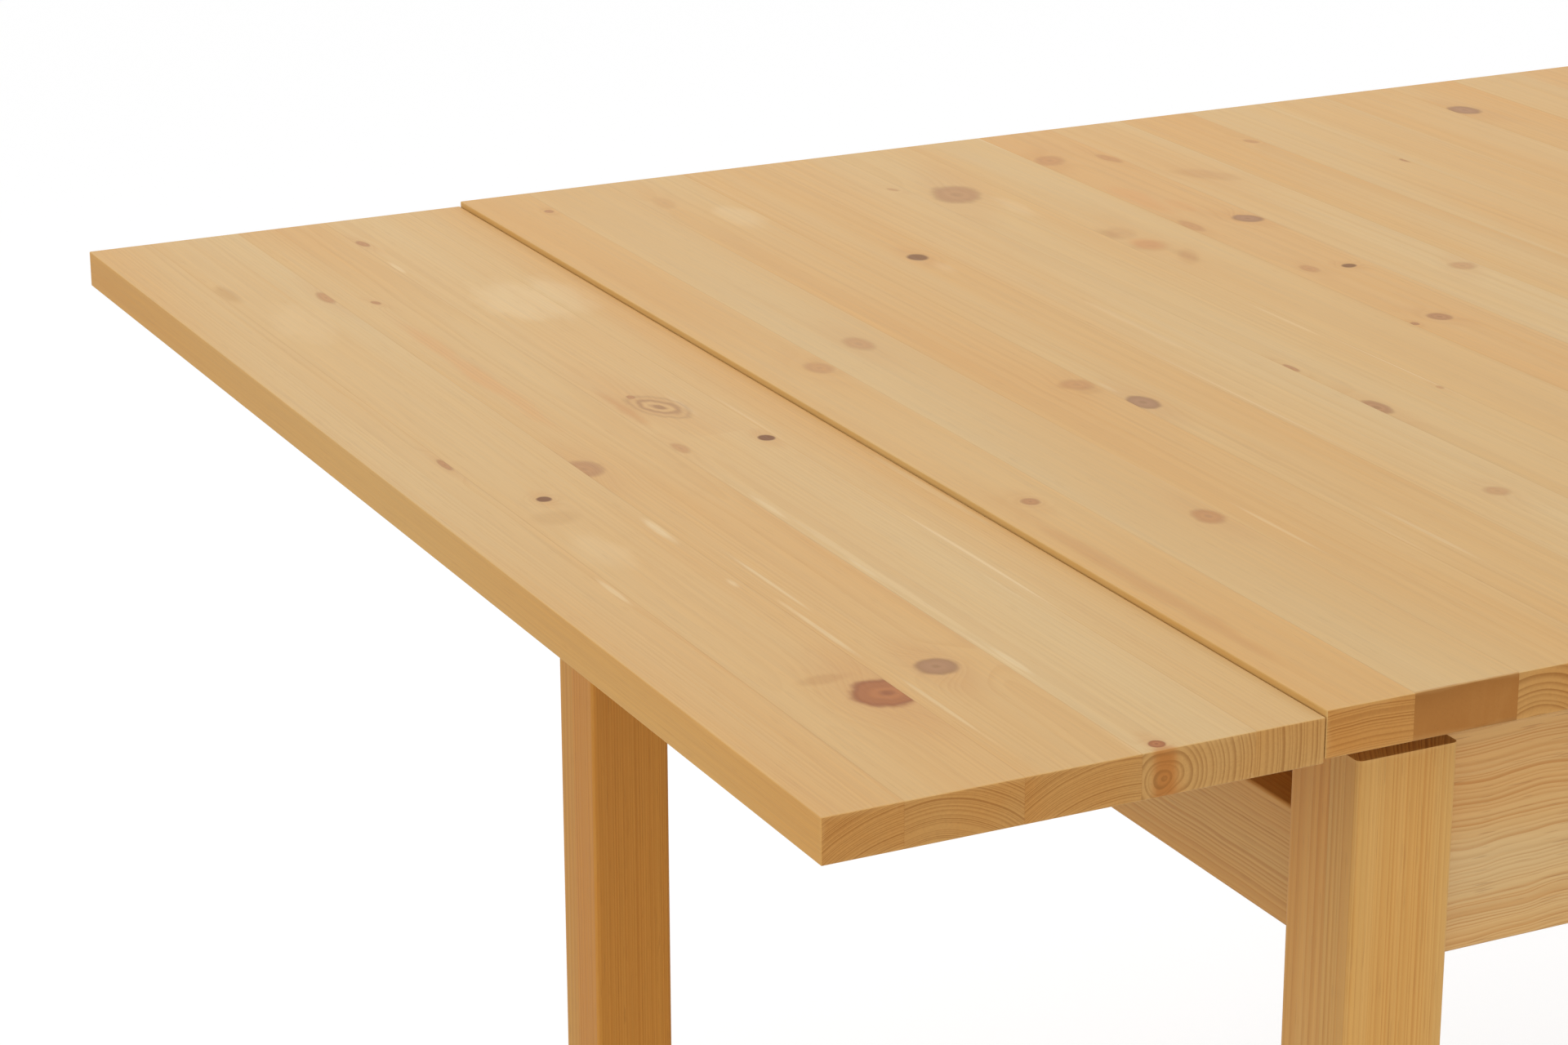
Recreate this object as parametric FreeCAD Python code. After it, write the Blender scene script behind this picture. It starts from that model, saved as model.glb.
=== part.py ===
import FreeCAD, Part
import math
import os

# Extending dining table in solid pine, in millimetres.
# +X runs along the table's length, +Y across its width and +Z up from the floor.
# The origin is on the floor, under the middle of everything that stands on it at rest.
# A leaf and its two tapered bearers slide as one on the end apron, on a slight slope.
# The left leaf is drawn out, and the right leaf lies stored under the loose main top.

# Top boards
main_top_length = 1200.0
table_width = 800.0
table_height = 740.0
main_top_thickness = 18.5
leaf_length = 197.5
leaf_thickness = 17.5
board_edge_radius = 1.2

# How a leaf lies when drawn and when stored
leaf_step = 2.5  # drawn leaf's surface below the main top's
leaf_joint_gap = 0.5  # drawn leaf to the main top's edge
leaf_sliding_gap = 0.75  # above and below a stored leaf
leaf_setback = 4.0  # stored leaf's outer edge behind the main top's end

# Legs and their glides
leg_side = 44.0
leg_edge_radius = 2.5
leg_inset_x = 36.0
leg_inset_y = 31.0
glide_radius = 14.0
glide_height = 4.0
glide_edge_radius = 1.0

# Aprons
apron_setback = 9.0
apron_thickness = 20.0
apron_edge_radius = 1.5
side_apron_height = 90.0
end_apron_height = 50.0

# Centre board, which carries the main top between the two leaves
centre_board_setback = 5.0
centre_board_gap = 6.0
felt_thickness = 0.7
felt_width = 24.0
felt_inset_y = 240.0  # from the long edges
felt_end_gap = 20.0
top_seat_gap = 0.3

# Pegs that keep the loose main top in place
peg_radius = 6.0
peg_socket_depth = 12.0
peg_projection = 12.0  # below the centre board
peg_hole_clearance = 0.75
peg_inset_x = 350.0
peg_inset_y = 100.0

# Tapered bearers under each leaf
bearer_thickness = 28.0
bearer_inset_y = 170.0  # from the long edges to its middle
bearer_end_setback = 45.0
bearer_end_cut = 40.0
bearer_clearance = 0.3
bearer_centre_gap = 25.0
bearer_side_clearance = 0.5

# Stops that end the draw
leaf_play = 12.0  # draw past the main top's edge until the stops meet
stop_block_length = 20.0
stop_block_height = 10.0
stop_block_setback = 5.0
stop_clearance = 0.5

# Rails across the frame
centre_rail_thickness = 20.0
centre_rail_height = 60.0
cross_rail_thickness = 22.0

# Guides beside the bearers
guide_section = 18.0
end_guide_height = 56.0
end_guide_top_gap = 3.0
guide_strip_end_gap = 8.0

# Corner blocks and the bolts that draw the legs in
block_thickness = 24.0
block_leg_gap = 3.0
block_margin = 4.0
bolt_radius = 4.0
bolt_depth_in_leg = 34.0
bolt_end = 4.0
bolt_hole_clearance = 0.5
washer_radius = 12.0
washer_thickness = 1.6
nut_height = 6.5
nut_across_flats = 13.0

# Dowels and screws
dowel_clearance = 0.1
apron_dowel_radius = 5.0
apron_dowel_length = 38.0
rail_dowel_radius = 4.0
rail_dowel_length = 30.0
rail_dowel_depth = 12.0
dowel_end_gap = 1.0
screw_clearance = 0.1
screw_radius = 2.0
screw_head_radius = 4.2
screw_head_height = 2.6
board_screw_length = 40.0
corner_screw_length = 28.0
corner_screw_bite = 13.0
leaf_screw_length = 42.0
leaf_screw_bite = 12.0
stop_screw_length = 24.0
guide_screw_length = 30.0
access_radius = 5.0
cut_overrun = 2.0

# Places along a piece, as shares of its size
board_screw_shares = (-0.42, -0.14, 0.14, 0.42)
side_dowel_shares = (0.47, 0.86)
end_dowel_shares = (0.19, 0.81)
centre_rail_dowel_shares = (0.25, 0.75)
cross_rail_dowel_shares = (0.5,)
leaf_screw_shares = (0.2, 0.55, 0.9)
guide_screw_shares = (0.12, 0.88)

LEFT, RIGHT = -1, 1
FRONT, BACK = -1, 1
END_NAMES = {LEFT: "left", RIGHT: "right"}
SIDE_NAMES = {FRONT: "front", BACK: "back"}
STORED = {LEFT: False, RIGHT: True}

# Levels, from the floor up
top_underside = table_height - main_top_thickness
gap_height = leaf_thickness + 2 * leaf_sliding_gap
frame_top = top_underside - gap_height
apron_bottom = frame_top - side_apron_height
end_apron_top = apron_bottom + end_apron_height
centre_board_thickness = gap_height - felt_thickness - top_seat_gap
board_top = frame_top + centre_board_thickness
drawn_leaf_top = table_height - leaf_step
drawn_leaf_bottom = drawn_leaf_top - leaf_thickness

# The main top's middle lies right of the origin by half of what the drawn leaf adds
centre_x = (leaf_length + leaf_joint_gap) / 2
half_length = main_top_length / 2
half_width = table_width / 2

# The slope that a leaf and its bearers slide on
leaf_travel = leaf_length + leaf_joint_gap + leaf_setback
leaf_rise = drawn_leaf_top - (top_underside - leaf_sliding_gap)
slope = leaf_rise / leaf_travel

# Distances inward from the main top's end (u) and from its long edge (v)
leg_inner_u = leg_inset_x + leg_side
leg_inner_v = leg_inset_y + leg_side
apron_outer_u = leg_inset_x + apron_setback
apron_inner_u = apron_outer_u + apron_thickness
apron_outer_v = leg_inset_y + apron_setback
apron_inner_v = apron_outer_v + apron_thickness
board_edge_u = leaf_setback + leaf_length + centre_board_gap

# A bearer's ends, from the main top's end with the leaf drawn; outside it is negative
leaf_outer_u = -leaf_joint_gap - leaf_length
bearer_outer_u = leaf_outer_u + bearer_end_setback
bearer_inner_u = half_length - centre_rail_thickness / 2 - bearer_centre_gap - leaf_travel
stop_inner_u = bearer_inner_u - stop_block_setback
stop_outer_u = stop_inner_u - stop_block_length
cross_rail_inner_u = stop_outer_u - leaf_play - stop_clearance
cross_rail_outer_u = cross_rail_inner_u - cross_rail_thickness


def bearer_bottom(u):
    """Height of the bearers' lower edge, a line that slides along itself."""
    return end_apron_top + bearer_clearance + slope * (apron_inner_u - u)


def bearer_top(u):
    """Height of the bearers' upper edge, just under the centre board."""
    return frame_top - bearer_clearance + slope * (board_edge_u - u)


cross_rail_top = bearer_bottom(cross_rail_inner_u) - bearer_clearance


def end_x(end, u):
    """X of a point that lies u inward from the main top's end."""
    return centre_x + end * (half_length - u)


def side_y(side, v):
    """Y of a point that lies v inward from the main top's long edge."""
    return side * (half_width - v)


def vec(x, y, z):
    return FreeCAD.Vector(x, y, z)


def block(x_pair, y_pair, z_pair):
    """Box between two values on each axis, in either order."""
    x0, x1 = sorted(x_pair)
    y0, y1 = sorted(y_pair)
    z0, z1 = sorted(z_pair)
    return Part.makeBox(x1 - x0, y1 - y0, z1 - z0, vec(x0, y0, z0))


def rod(start, direction, radius, length):
    return Part.makeCylinder(radius, length, start, direction)


def prism(points, extrusion):
    """Solid swept from a closed outline of points."""
    return Part.Face(Part.makePolygon(points + [points[0]])).extrude(extrusion)


def edges_along(shape, axis):
    """Straight edges that run along an axis."""
    found = []
    for edge in shape.Edges:
        along = edge.Vertexes[-1].Point.sub(edge.Vertexes[0].Point)
        if along.Length > 0 and along.getAngle(axis) in (0, math.pi):
            found.append(edge)
    return found


def rounded(shape, radius):
    return shape.makeFillet(radius, shape.Edges)


def cut_all(shape, tools):
    for tool in tools:
        shape = shape.cut(tool)
    return shape


def slid(end, shape):
    """A leaf's piece, moved down the slope where that end's leaf is stored."""
    if not STORED[end]:
        return shape
    moved = shape.copy()
    moved.translate(vec(-end * leaf_travel, 0, -leaf_rise))
    return moved


def screw_at(head, direction, length, clearance=0.0):
    """Countersunk screw from its head's face; a clearance makes its hole."""
    direction = vec(*direction).normalize()
    grown_head = screw_head_radius + clearance
    grown_shank = screw_radius + clearance
    cone = Part.makeCone(grown_head, grown_shank, screw_head_height, head, direction)
    neck = head.add(direction * screw_head_height)
    shank = rod(neck, direction, grown_shank, length - screw_head_height + clearance)
    return cone.fuse(shank).removeSplitter()


def make_main_top():
    board = block(
        (end_x(LEFT, 0), end_x(RIGHT, 0)), (-half_width, half_width), (top_underside, table_height)
    )
    board = rounded(board, board_edge_radius)
    sockets = []
    for place in peg_places():
        start = vec(place.x, place.y, top_underside - cut_overrun)
        depth = peg_socket_depth + cut_overrun + dowel_clearance
        sockets.append(rod(start, vec(0, 0, 1), peg_radius + dowel_clearance, depth))
    return cut_all(board, sockets)


def peg_places():
    places = []
    for end in (LEFT, RIGHT):
        for side in (FRONT, BACK):
            places.append(vec(end_x(end, peg_inset_x), side_y(side, peg_inset_y), 0))
    return places


def make_locating_pegs():
    foot = frame_top - peg_projection
    length = top_underside + peg_socket_depth - foot
    pegs = []
    for place in peg_places():
        pegs.append(rod(vec(place.x, place.y, foot), vec(0, 0, 1), peg_radius, length))
    return pegs


def board_screw_heads():
    heads = []
    board_length = main_top_length - 2 * board_edge_u
    for side in (FRONT, BACK):
        y = side_y(side, apron_outer_v + apron_thickness / 2)
        for share in board_screw_shares:
            heads.append(vec(centre_x + share * board_length, y, board_top))
    return heads


def make_centre_board():
    board = block(
        (end_x(LEFT, board_edge_u), end_x(RIGHT, board_edge_u)),
        (side_y(FRONT, centre_board_setback), side_y(BACK, centre_board_setback)),
        (frame_top, board_top),
    )
    board = rounded(board, board_edge_radius)
    holes = []
    for place in peg_places():
        start = vec(place.x, place.y, frame_top - cut_overrun)
        height = centre_board_thickness + 2 * cut_overrun
        holes.append(rod(start, vec(0, 0, 1), peg_radius + peg_hole_clearance, height))
    for end in (LEFT, RIGHT):
        holes += guide_strip_screws(end, screw_clearance)
    return cut_all(board, holes + board_screw_holes())


def board_screw_holes():
    down = (0, 0, -1)
    return [screw_at(h, down, board_screw_length, screw_clearance) for h in board_screw_heads()]


def make_board_screws():
    return [screw_at(head, (0, 0, -1), board_screw_length) for head in board_screw_heads()]


def make_felt_strips():
    strips = []
    reach = board_edge_u + felt_end_gap
    for side in (FRONT, BACK):
        y = side_y(side, felt_inset_y)
        strips.append(
            block(
                (end_x(LEFT, reach), end_x(RIGHT, reach)),
                (y - felt_width / 2, y + felt_width / 2),
                (board_top, board_top + felt_thickness),
            )
        )
    return strips


def bearer_kink_u():
    """Where the bearers' level upper edge, under the leaf, turns down the slope."""
    return board_edge_u - (drawn_leaf_bottom - frame_top + bearer_clearance) / slope


def leaf_screw_heads(end, side):
    y = side_y(side, bearer_inset_y)
    z = drawn_leaf_bottom + leaf_screw_bite - leaf_screw_length
    inner = min(bearer_kink_u(), -leaf_joint_gap)
    span = inner - bearer_outer_u
    return [vec(end_x(end, bearer_outer_u + share * span), y, z) for share in leaf_screw_shares]


def make_leaf(end):
    board = block(
        (end_x(end, leaf_outer_u), end_x(end, -leaf_joint_gap)),
        (-half_width, half_width),
        (drawn_leaf_bottom, drawn_leaf_top),
    )
    board = rounded(board, board_edge_radius)
    holes = []
    for side in (FRONT, BACK):
        for head in leaf_screw_heads(end, side):
            holes.append(screw_at(head, (0, 0, 1), leaf_screw_length, screw_clearance))
    return slid(end, cut_all(board, holes))


def make_bearer(end, side):
    y0 = side_y(side, bearer_inset_y) - bearer_thickness / 2
    cut_u = bearer_outer_u + bearer_end_cut
    kink_u = bearer_kink_u()
    outline = (
        (bearer_outer_u, drawn_leaf_bottom),
        (kink_u, drawn_leaf_bottom),
        (bearer_inner_u, bearer_top(bearer_inner_u)),
        (bearer_inner_u, bearer_bottom(bearer_inner_u)),
        (cut_u, bearer_bottom(cut_u)),
    )
    points = [vec(end_x(end, u), y0, z) for u, z in outline]
    bearer = prism(points, vec(0, bearer_thickness, 0))
    up = vec(0, 0, 1)
    for head in leaf_screw_heads(end, side):
        bearer = bearer.cut(screw_at(head, up, leaf_screw_length, screw_clearance))
        way_in = head.sub(vec(0, 0, end_apron_height))
        bearer = bearer.cut(rod(way_in, up, access_radius, end_apron_height + screw_clearance))
    return slid(end, bearer.cut(stop_screw(end, side, screw_clearance)))


def make_stop_blocks(end):
    """Blocks under the bearers' inner ends that meet the cross rail."""
    blocks = []
    for side in (FRONT, BACK):
        y0 = side_y(side, bearer_inset_y) - bearer_thickness / 2
        outline = (
            (stop_outer_u, bearer_bottom(stop_outer_u)),
            (stop_inner_u, bearer_bottom(stop_inner_u)),
            (stop_inner_u, bearer_bottom(stop_inner_u) - stop_block_height),
            (stop_outer_u, bearer_bottom(stop_outer_u) - stop_block_height),
        )
        points = [vec(end_x(end, u), y0, z) for u, z in outline]
        body = prism(points, vec(0, bearer_thickness, 0))
        blocks.append(slid(end, body.cut(stop_screw(end, side, screw_clearance))))
    return blocks


def stop_screw(end, side, clearance=0.0):
    """Screw up through a stop block, its head just inside the lower face."""
    u = (stop_outer_u + stop_inner_u) / 2
    z = bearer_bottom(u) - stop_block_height + screw_radius
    head = vec(end_x(end, u), side_y(side, bearer_inset_y), z)
    screw = screw_at(head, (0, 0, 1), stop_screw_length, clearance)
    if clearance == 0:
        return screw
    way_in = head.sub(vec(0, 0, stop_block_height))
    mouth = rod(way_in, vec(0, 0, 1), screw_head_radius + clearance, stop_block_height)
    return screw.fuse(mouth)


def make_stop_screws(end):
    return [slid(end, stop_screw(end, side)) for side in (FRONT, BACK)]


def make_leaf_screws(end):
    screws = []
    for side in (FRONT, BACK):
        for head in leaf_screw_heads(end, side):
            screws.append(slid(end, screw_at(head, (0, 0, 1), leaf_screw_length)))
    return screws


def bolt_line(end, side):
    """Leg's inner corner at bolt height, and the way from it into the frame."""
    z = (apron_bottom + end_apron_top) / 2
    corner = vec(end_x(end, leg_inner_u), side_y(side, leg_inner_v), z)
    return corner, vec(-end, -side, 0).normalize()


def bolt_rod(end, side, first, last, radius):
    """Rod on a corner's bolt line, between two distances from the leg's corner."""
    corner, inward = bolt_line(end, side)
    return rod(corner.add(inward * first), inward, radius, last - first)


block_face = block_leg_gap + block_thickness
nut_face = block_face + washer_thickness


def make_leg(end, side):
    leg = block(
        (end_x(end, leg_inset_x), end_x(end, leg_inner_u)),
        (side_y(side, leg_inset_y), side_y(side, leg_inner_v)),
        (glide_height, frame_top),
    )
    leg = leg.makeFillet(leg_edge_radius, edges_along(leg, vec(0, 0, 1)))
    first = -bolt_depth_in_leg - dowel_end_gap
    bolt_hole = bolt_rod(end, side, first, cut_overrun, bolt_radius + screw_clearance)
    dowel_holes = apron_dowels(end, side, dowel_clearance)
    return cut_all(leg, [bolt_hole] + dowel_holes)


def apron_dowels(end, side, clearance=0.0):
    """Dowels that join one leg to its two aprons; a clearance makes their holes."""
    radius = apron_dowel_radius + clearance
    length = apron_dowel_length
    if clearance > 0:
        length += 2 * dowel_end_gap
    dowels = []
    for share in end_dowel_shares:
        z = apron_bottom + share * end_apron_height
        x = end_x(end, apron_outer_u + apron_thickness / 2)
        start = vec(x, side_y(side, leg_inner_v) + side * length / 2, z)
        dowels.append(rod(start, vec(0, -side, 0), radius, length))
    for share in side_dowel_shares:
        z = apron_bottom + share * side_apron_height
        y = side_y(side, apron_outer_v + apron_thickness / 2)
        start = vec(end_x(end, leg_inner_u) + end * length / 2, y, z)
        dowels.append(rod(start, vec(-end, 0, 0), radius, length))
    return dowels


def make_side_apron(side):
    apron = block(
        (end_x(LEFT, leg_inner_u), end_x(RIGHT, leg_inner_u)),
        (side_y(side, apron_outer_v), side_y(side, apron_inner_v)),
        (apron_bottom, frame_top),
    )
    apron = apron.makeFillet(apron_edge_radius, edges_along(apron, vec(1, 0, 0)))
    tools = board_screw_holes() + rail_dowels(dowel_clearance)
    for end in (LEFT, RIGHT):
        tools += apron_dowels(end, side, dowel_clearance)
        tools.append(corner_screw(end, side, False, screw_clearance))
    return cut_all(apron, tools)


def make_end_apron(end):
    apron = block(
        (end_x(end, apron_outer_u), end_x(end, apron_inner_u)),
        (side_y(FRONT, leg_inner_v), side_y(BACK, leg_inner_v)),
        (apron_bottom, end_apron_top),
    )
    apron = apron.makeFillet(apron_edge_radius, edges_along(apron, vec(0, 1, 0)))
    tools = end_guide_screws(end, screw_clearance)
    for side in (FRONT, BACK):
        tools += apron_dowels(end, side, dowel_clearance)
        tools.append(corner_screw(end, side, True, screw_clearance))
    return cut_all(apron, tools)


def corner_block_points(end, side):
    """The block's outline seen from above: a brace across the inner corner."""
    corner_sum = leg_inner_u + leg_inner_v
    outer_sum = corner_sum + block_leg_gap * math.sqrt(2)
    inner_sum = corner_sum + block_face * math.sqrt(2)
    outline = (
        (apron_inner_u, outer_sum - apron_inner_u),
        (outer_sum - apron_inner_v, apron_inner_v),
        (inner_sum - apron_inner_v, apron_inner_v),
        (apron_inner_u, inner_sum - apron_inner_u),
    )
    z = apron_bottom + block_margin
    return [vec(end_x(end, u), side_y(side, v), z) for u, v in outline]


def corner_screw(end, side, into_end, clearance=0.0):
    """Screw from a corner block into its end apron or its side apron."""
    outer_near, outer_far, inner_far, inner_near = corner_block_points(end, side)
    z = (apron_bottom + end_apron_top) / 2
    if into_end:
        seat = (outer_near + inner_near) / 2
        direction = vec(end, 0, 0)
    else:
        seat = (outer_far + inner_far) / 2
        direction = vec(0, side, 0)
    reach = corner_screw_length - corner_screw_bite
    head = vec(seat.x, seat.y, z).sub(direction * reach)
    screw = screw_at(head, tuple(direction), corner_screw_length, clearance)
    if clearance == 0:
        return screw
    mouth = rod(head.sub(direction * block_thickness), direction, access_radius, block_thickness)
    return screw.fuse(mouth)


def make_corner_block(end, side):
    height = end_apron_height - 2 * block_margin
    body = prism(corner_block_points(end, side), vec(0, 0, height))
    bolt_hole = bolt_rod(
        end, side, -cut_overrun, block_face + cut_overrun, bolt_radius + bolt_hole_clearance
    )
    screws = [corner_screw(end, side, into_end, screw_clearance) for into_end in (True, False)]
    return cut_all(body, [bolt_hole] + screws)


def corners():
    return [(end, side) for end in (LEFT, RIGHT) for side in (FRONT, BACK)]


def make_hanger_bolts():
    last = nut_face + nut_height + bolt_end
    return [bolt_rod(end, side, -bolt_depth_in_leg, last, bolt_radius) for end, side in corners()]


def make_bolt_washers():
    washers = []
    for end, side in corners():
        disc = bolt_rod(end, side, block_face, nut_face, washer_radius)
        hole = bolt_rod(
            end, side, block_face - cut_overrun, nut_face + cut_overrun,
            bolt_radius + bolt_hole_clearance,
        )
        washers.append(disc.cut(hole))
    return washers


def make_bolt_nuts():
    nuts = []
    corner_radius = nut_across_flats / math.sqrt(3)
    for end, side in corners():
        corner, inward = bolt_line(end, side)
        across = vec(-inward.y, inward.x, 0)
        seat = corner.add(inward * nut_face)
        points = []
        for step in range(6):
            turn = math.radians(60 * step)
            offset = across * (corner_radius * math.cos(turn))
            lift = vec(0, 0, corner_radius * math.sin(turn))
            points.append(seat.add(offset).add(lift))
        hexagon = prism(points, inward * nut_height)
        last = nut_face + nut_height + cut_overrun
        hole = bolt_rod(end, side, nut_face - cut_overrun, last, bolt_radius + screw_clearance)
        nuts.append(hexagon.cut(hole))
    return nuts


def make_corner_screws():
    screws = []
    for end, side in corners():
        for into_end in (True, False):
            screws.append(corner_screw(end, side, into_end))
    return screws


def rails():
    """Middle X, thickness, bottom, top and dowel shares of each rail across the frame."""
    cross_u = (cross_rail_inner_u + cross_rail_outer_u) / 2
    centre_bottom = frame_top - centre_rail_height
    return {
        "left_cross_rail": (
            end_x(LEFT, cross_u), cross_rail_thickness,
            apron_bottom, cross_rail_top, cross_rail_dowel_shares,
        ),
        "centre_rail": (
            centre_x, centre_rail_thickness,
            centre_bottom, frame_top, centre_rail_dowel_shares,
        ),
        "right_cross_rail": (
            end_x(RIGHT, cross_u), cross_rail_thickness,
            apron_bottom, cross_rail_top, cross_rail_dowel_shares,
        ),
    }


def rail_dowels(clearance=0.0):
    """Dowels between the rails and the side aprons; a clearance makes their holes."""
    length = rail_dowel_length
    depth = rail_dowel_depth
    if clearance > 0:
        length += 2 * dowel_end_gap
        depth += dowel_end_gap
    dowels = []
    for x, thickness, bottom, top, shares in rails().values():
        for side in (FRONT, BACK):
            for share in shares:
                y = side_y(side, apron_inner_v) + side * depth
                start = vec(x, y, bottom + share * (top - bottom))
                radius = rail_dowel_radius + clearance
                dowels.append(rod(start, vec(0, -side, 0), radius, length))
    return dowels


def make_rail(name):
    x, thickness, bottom, top, shares = rails()[name]
    rail = block(
        (x - thickness / 2, x + thickness / 2),
        (side_y(FRONT, apron_inner_v), side_y(BACK, apron_inner_v)),
        (bottom, top),
    )
    return cut_all(rail, rail_dowels(dowel_clearance))


def guide_centres():
    """Y of the guides on both sides of both bearers."""
    reach = bearer_thickness / 2 + bearer_side_clearance + guide_section / 2
    centres = []
    for side in (FRONT, BACK):
        for beside in (FRONT, BACK):
            centres.append(side_y(side, bearer_inset_y) + beside * reach)
    return centres


def end_guide_screws(end, clearance=0.0):
    """Screws through the end guides into the end apron's inner face."""
    screws = []
    z = (apron_bottom + end_apron_top) / 2
    for y in guide_centres():
        head = vec(end_x(end, apron_inner_u + guide_section), y, z)
        screws.append(screw_at(head, (end, 0, 0), guide_screw_length, clearance))
    return screws


def make_end_guides(end):
    """Upright cleats that keep the bearers from wandering over the end apron."""
    top = frame_top - end_guide_top_gap
    guides = []
    for y in guide_centres():
        body = block(
            (end_x(end, apron_inner_u), end_x(end, apron_inner_u + guide_section)),
            (y - guide_section / 2, y + guide_section / 2),
            (top - end_guide_height, top),
        )
        guides.append(cut_all(body, end_guide_screws(end, screw_clearance)))
    return guides


def guide_strip_span():
    first = board_edge_u + guide_strip_end_gap
    last = half_length - centre_rail_thickness / 2
    return first, last


def guide_strip_screws(end, clearance=0.0):
    """Screws up through the guide strips into the centre board."""
    first, last = guide_strip_span()
    screws = []
    for y in guide_centres():
        for share in guide_screw_shares:
            x = end_x(end, first + share * (last - first))
            head = vec(x, y, frame_top - guide_section)
            screws.append(screw_at(head, (0, 0, 1), guide_screw_length, clearance))
    return screws


def make_guide_strips(end):
    """Strips under the centre board on both sides of each bearer."""
    first, last = guide_strip_span()
    strips = []
    for y in guide_centres():
        body = block(
            (end_x(end, first), end_x(end, last)),
            (y - guide_section / 2, y + guide_section / 2),
            (frame_top - guide_section, frame_top),
        )
        strips.append(cut_all(body, guide_strip_screws(end, screw_clearance)))
    return strips


def make_foot_glide(end, side):
    x = end_x(end, leg_inset_x + leg_side / 2)
    y = side_y(side, leg_inset_y + leg_side / 2)
    glide = rod(vec(x, y, 0), vec(0, 0, 1), glide_radius, glide_height)
    lower = [edge for edge in glide.Edges if edge.BoundBox.ZMax < glide_edge_radius]
    return glide.makeFillet(glide_edge_radius, lower)


def all_parts():
    """Every node's name with its solid or list of solids."""
    parts = {
        "main_top": make_main_top(),
        "locating_pegs": make_locating_pegs(),
        "centre_board": make_centre_board(),
        "centre_board_screws": make_board_screws(),
        "felt_strips": make_felt_strips(),
        "hanger_bolts": make_hanger_bolts(),
        "bolt_washers": make_bolt_washers(),
        "bolt_nuts": make_bolt_nuts(),
        "corner_block_screws": make_corner_screws(),
        "rail_dowels": rail_dowels(),
        "apron_dowels": [d for end, side in corners() for d in apron_dowels(end, side)],
    }
    for name in rails():
        parts[name] = make_rail(name)
    for side, side_name in SIDE_NAMES.items():
        parts[f"side_apron_{side_name}"] = make_side_apron(side)
    for end, end_name in END_NAMES.items():
        parts[f"{end_name}_leaf"] = make_leaf(end)
        parts[f"{end_name}_leaf_screws"] = make_leaf_screws(end)
        parts[f"{end_name}_stop_blocks"] = make_stop_blocks(end)
        parts[f"{end_name}_stop_screws"] = make_stop_screws(end)
        parts[f"end_apron_{end_name}"] = make_end_apron(end)
        parts[f"{end_name}_end_guides"] = make_end_guides(end)
        parts[f"{end_name}_end_guide_screws"] = end_guide_screws(end)
        parts[f"{end_name}_guide_strips"] = make_guide_strips(end)
        parts[f"{end_name}_guide_strip_screws"] = guide_strip_screws(end)
        for side, side_name in SIDE_NAMES.items():
            place = f"{end_name}_{side_name}"
            parts[f"{end_name}_bearer_{side_name}"] = make_bearer(end, side)
            parts[f"leg_{place}"] = make_leg(end, side)
            parts[f"corner_block_{place}"] = make_corner_block(end, side)
            parts[f"foot_glide_{place}"] = make_foot_glide(end, side)
    return parts


def write_parts():
    os.makedirs("parts", exist_ok=True)
    for name, made in all_parts().items():
        solids = made if isinstance(made, list) else made.Solids
        shape = solids[0] if len(solids) == 1 else Part.makeCompound(solids)
        shape.exportStep(os.path.join("parts", name + ".step"))


write_parts()
print("leaf travel", leaf_travel, "rise", leaf_rise, "slope", math.degrees(math.atan(slope)))
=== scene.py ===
"""Looks of the extending dining table in lacquered pine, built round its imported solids."""

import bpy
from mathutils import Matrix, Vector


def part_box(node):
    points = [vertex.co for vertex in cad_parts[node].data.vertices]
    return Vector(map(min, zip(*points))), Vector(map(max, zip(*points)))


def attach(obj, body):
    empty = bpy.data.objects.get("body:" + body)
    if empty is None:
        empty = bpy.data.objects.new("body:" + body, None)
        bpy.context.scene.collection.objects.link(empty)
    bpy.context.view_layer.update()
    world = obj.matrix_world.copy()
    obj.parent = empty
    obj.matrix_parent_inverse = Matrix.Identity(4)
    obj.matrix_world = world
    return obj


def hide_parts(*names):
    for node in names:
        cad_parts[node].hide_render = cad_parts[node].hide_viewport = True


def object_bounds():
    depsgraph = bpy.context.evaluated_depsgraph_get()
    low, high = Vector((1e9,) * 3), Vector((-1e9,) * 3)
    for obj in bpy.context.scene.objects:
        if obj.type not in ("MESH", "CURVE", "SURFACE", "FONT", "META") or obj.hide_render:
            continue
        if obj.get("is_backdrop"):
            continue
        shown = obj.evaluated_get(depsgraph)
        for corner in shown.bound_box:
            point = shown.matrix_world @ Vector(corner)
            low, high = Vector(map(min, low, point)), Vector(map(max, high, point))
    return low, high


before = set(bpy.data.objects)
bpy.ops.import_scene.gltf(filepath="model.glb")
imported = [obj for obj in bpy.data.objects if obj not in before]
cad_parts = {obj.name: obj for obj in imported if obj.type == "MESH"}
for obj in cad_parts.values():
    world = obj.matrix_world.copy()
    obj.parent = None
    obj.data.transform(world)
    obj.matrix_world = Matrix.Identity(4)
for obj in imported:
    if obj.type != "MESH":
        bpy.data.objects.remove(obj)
SOLIDS_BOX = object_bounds()

import inspect
import math

import bmesh
import bpy
import numpy as np
from mathutils import Euler, Matrix, Vector

MM = 0.001

# Camera, found from the straight edges of the table.
CAMERA_PLACE = Vector((-1.25497, -1.49328, 1.26043))
CAMERA_TURN = math.radians(26.40)
CAMERA_DIP = math.radians(18.92)
CAMERA_ROLL = math.radians(0.17)
CAMERA_LENS = 93.02
CAMERA_SENSOR = 36.0
CAMERA_NEAR = 0.05
CAMERA_FAR = 60.0

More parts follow.
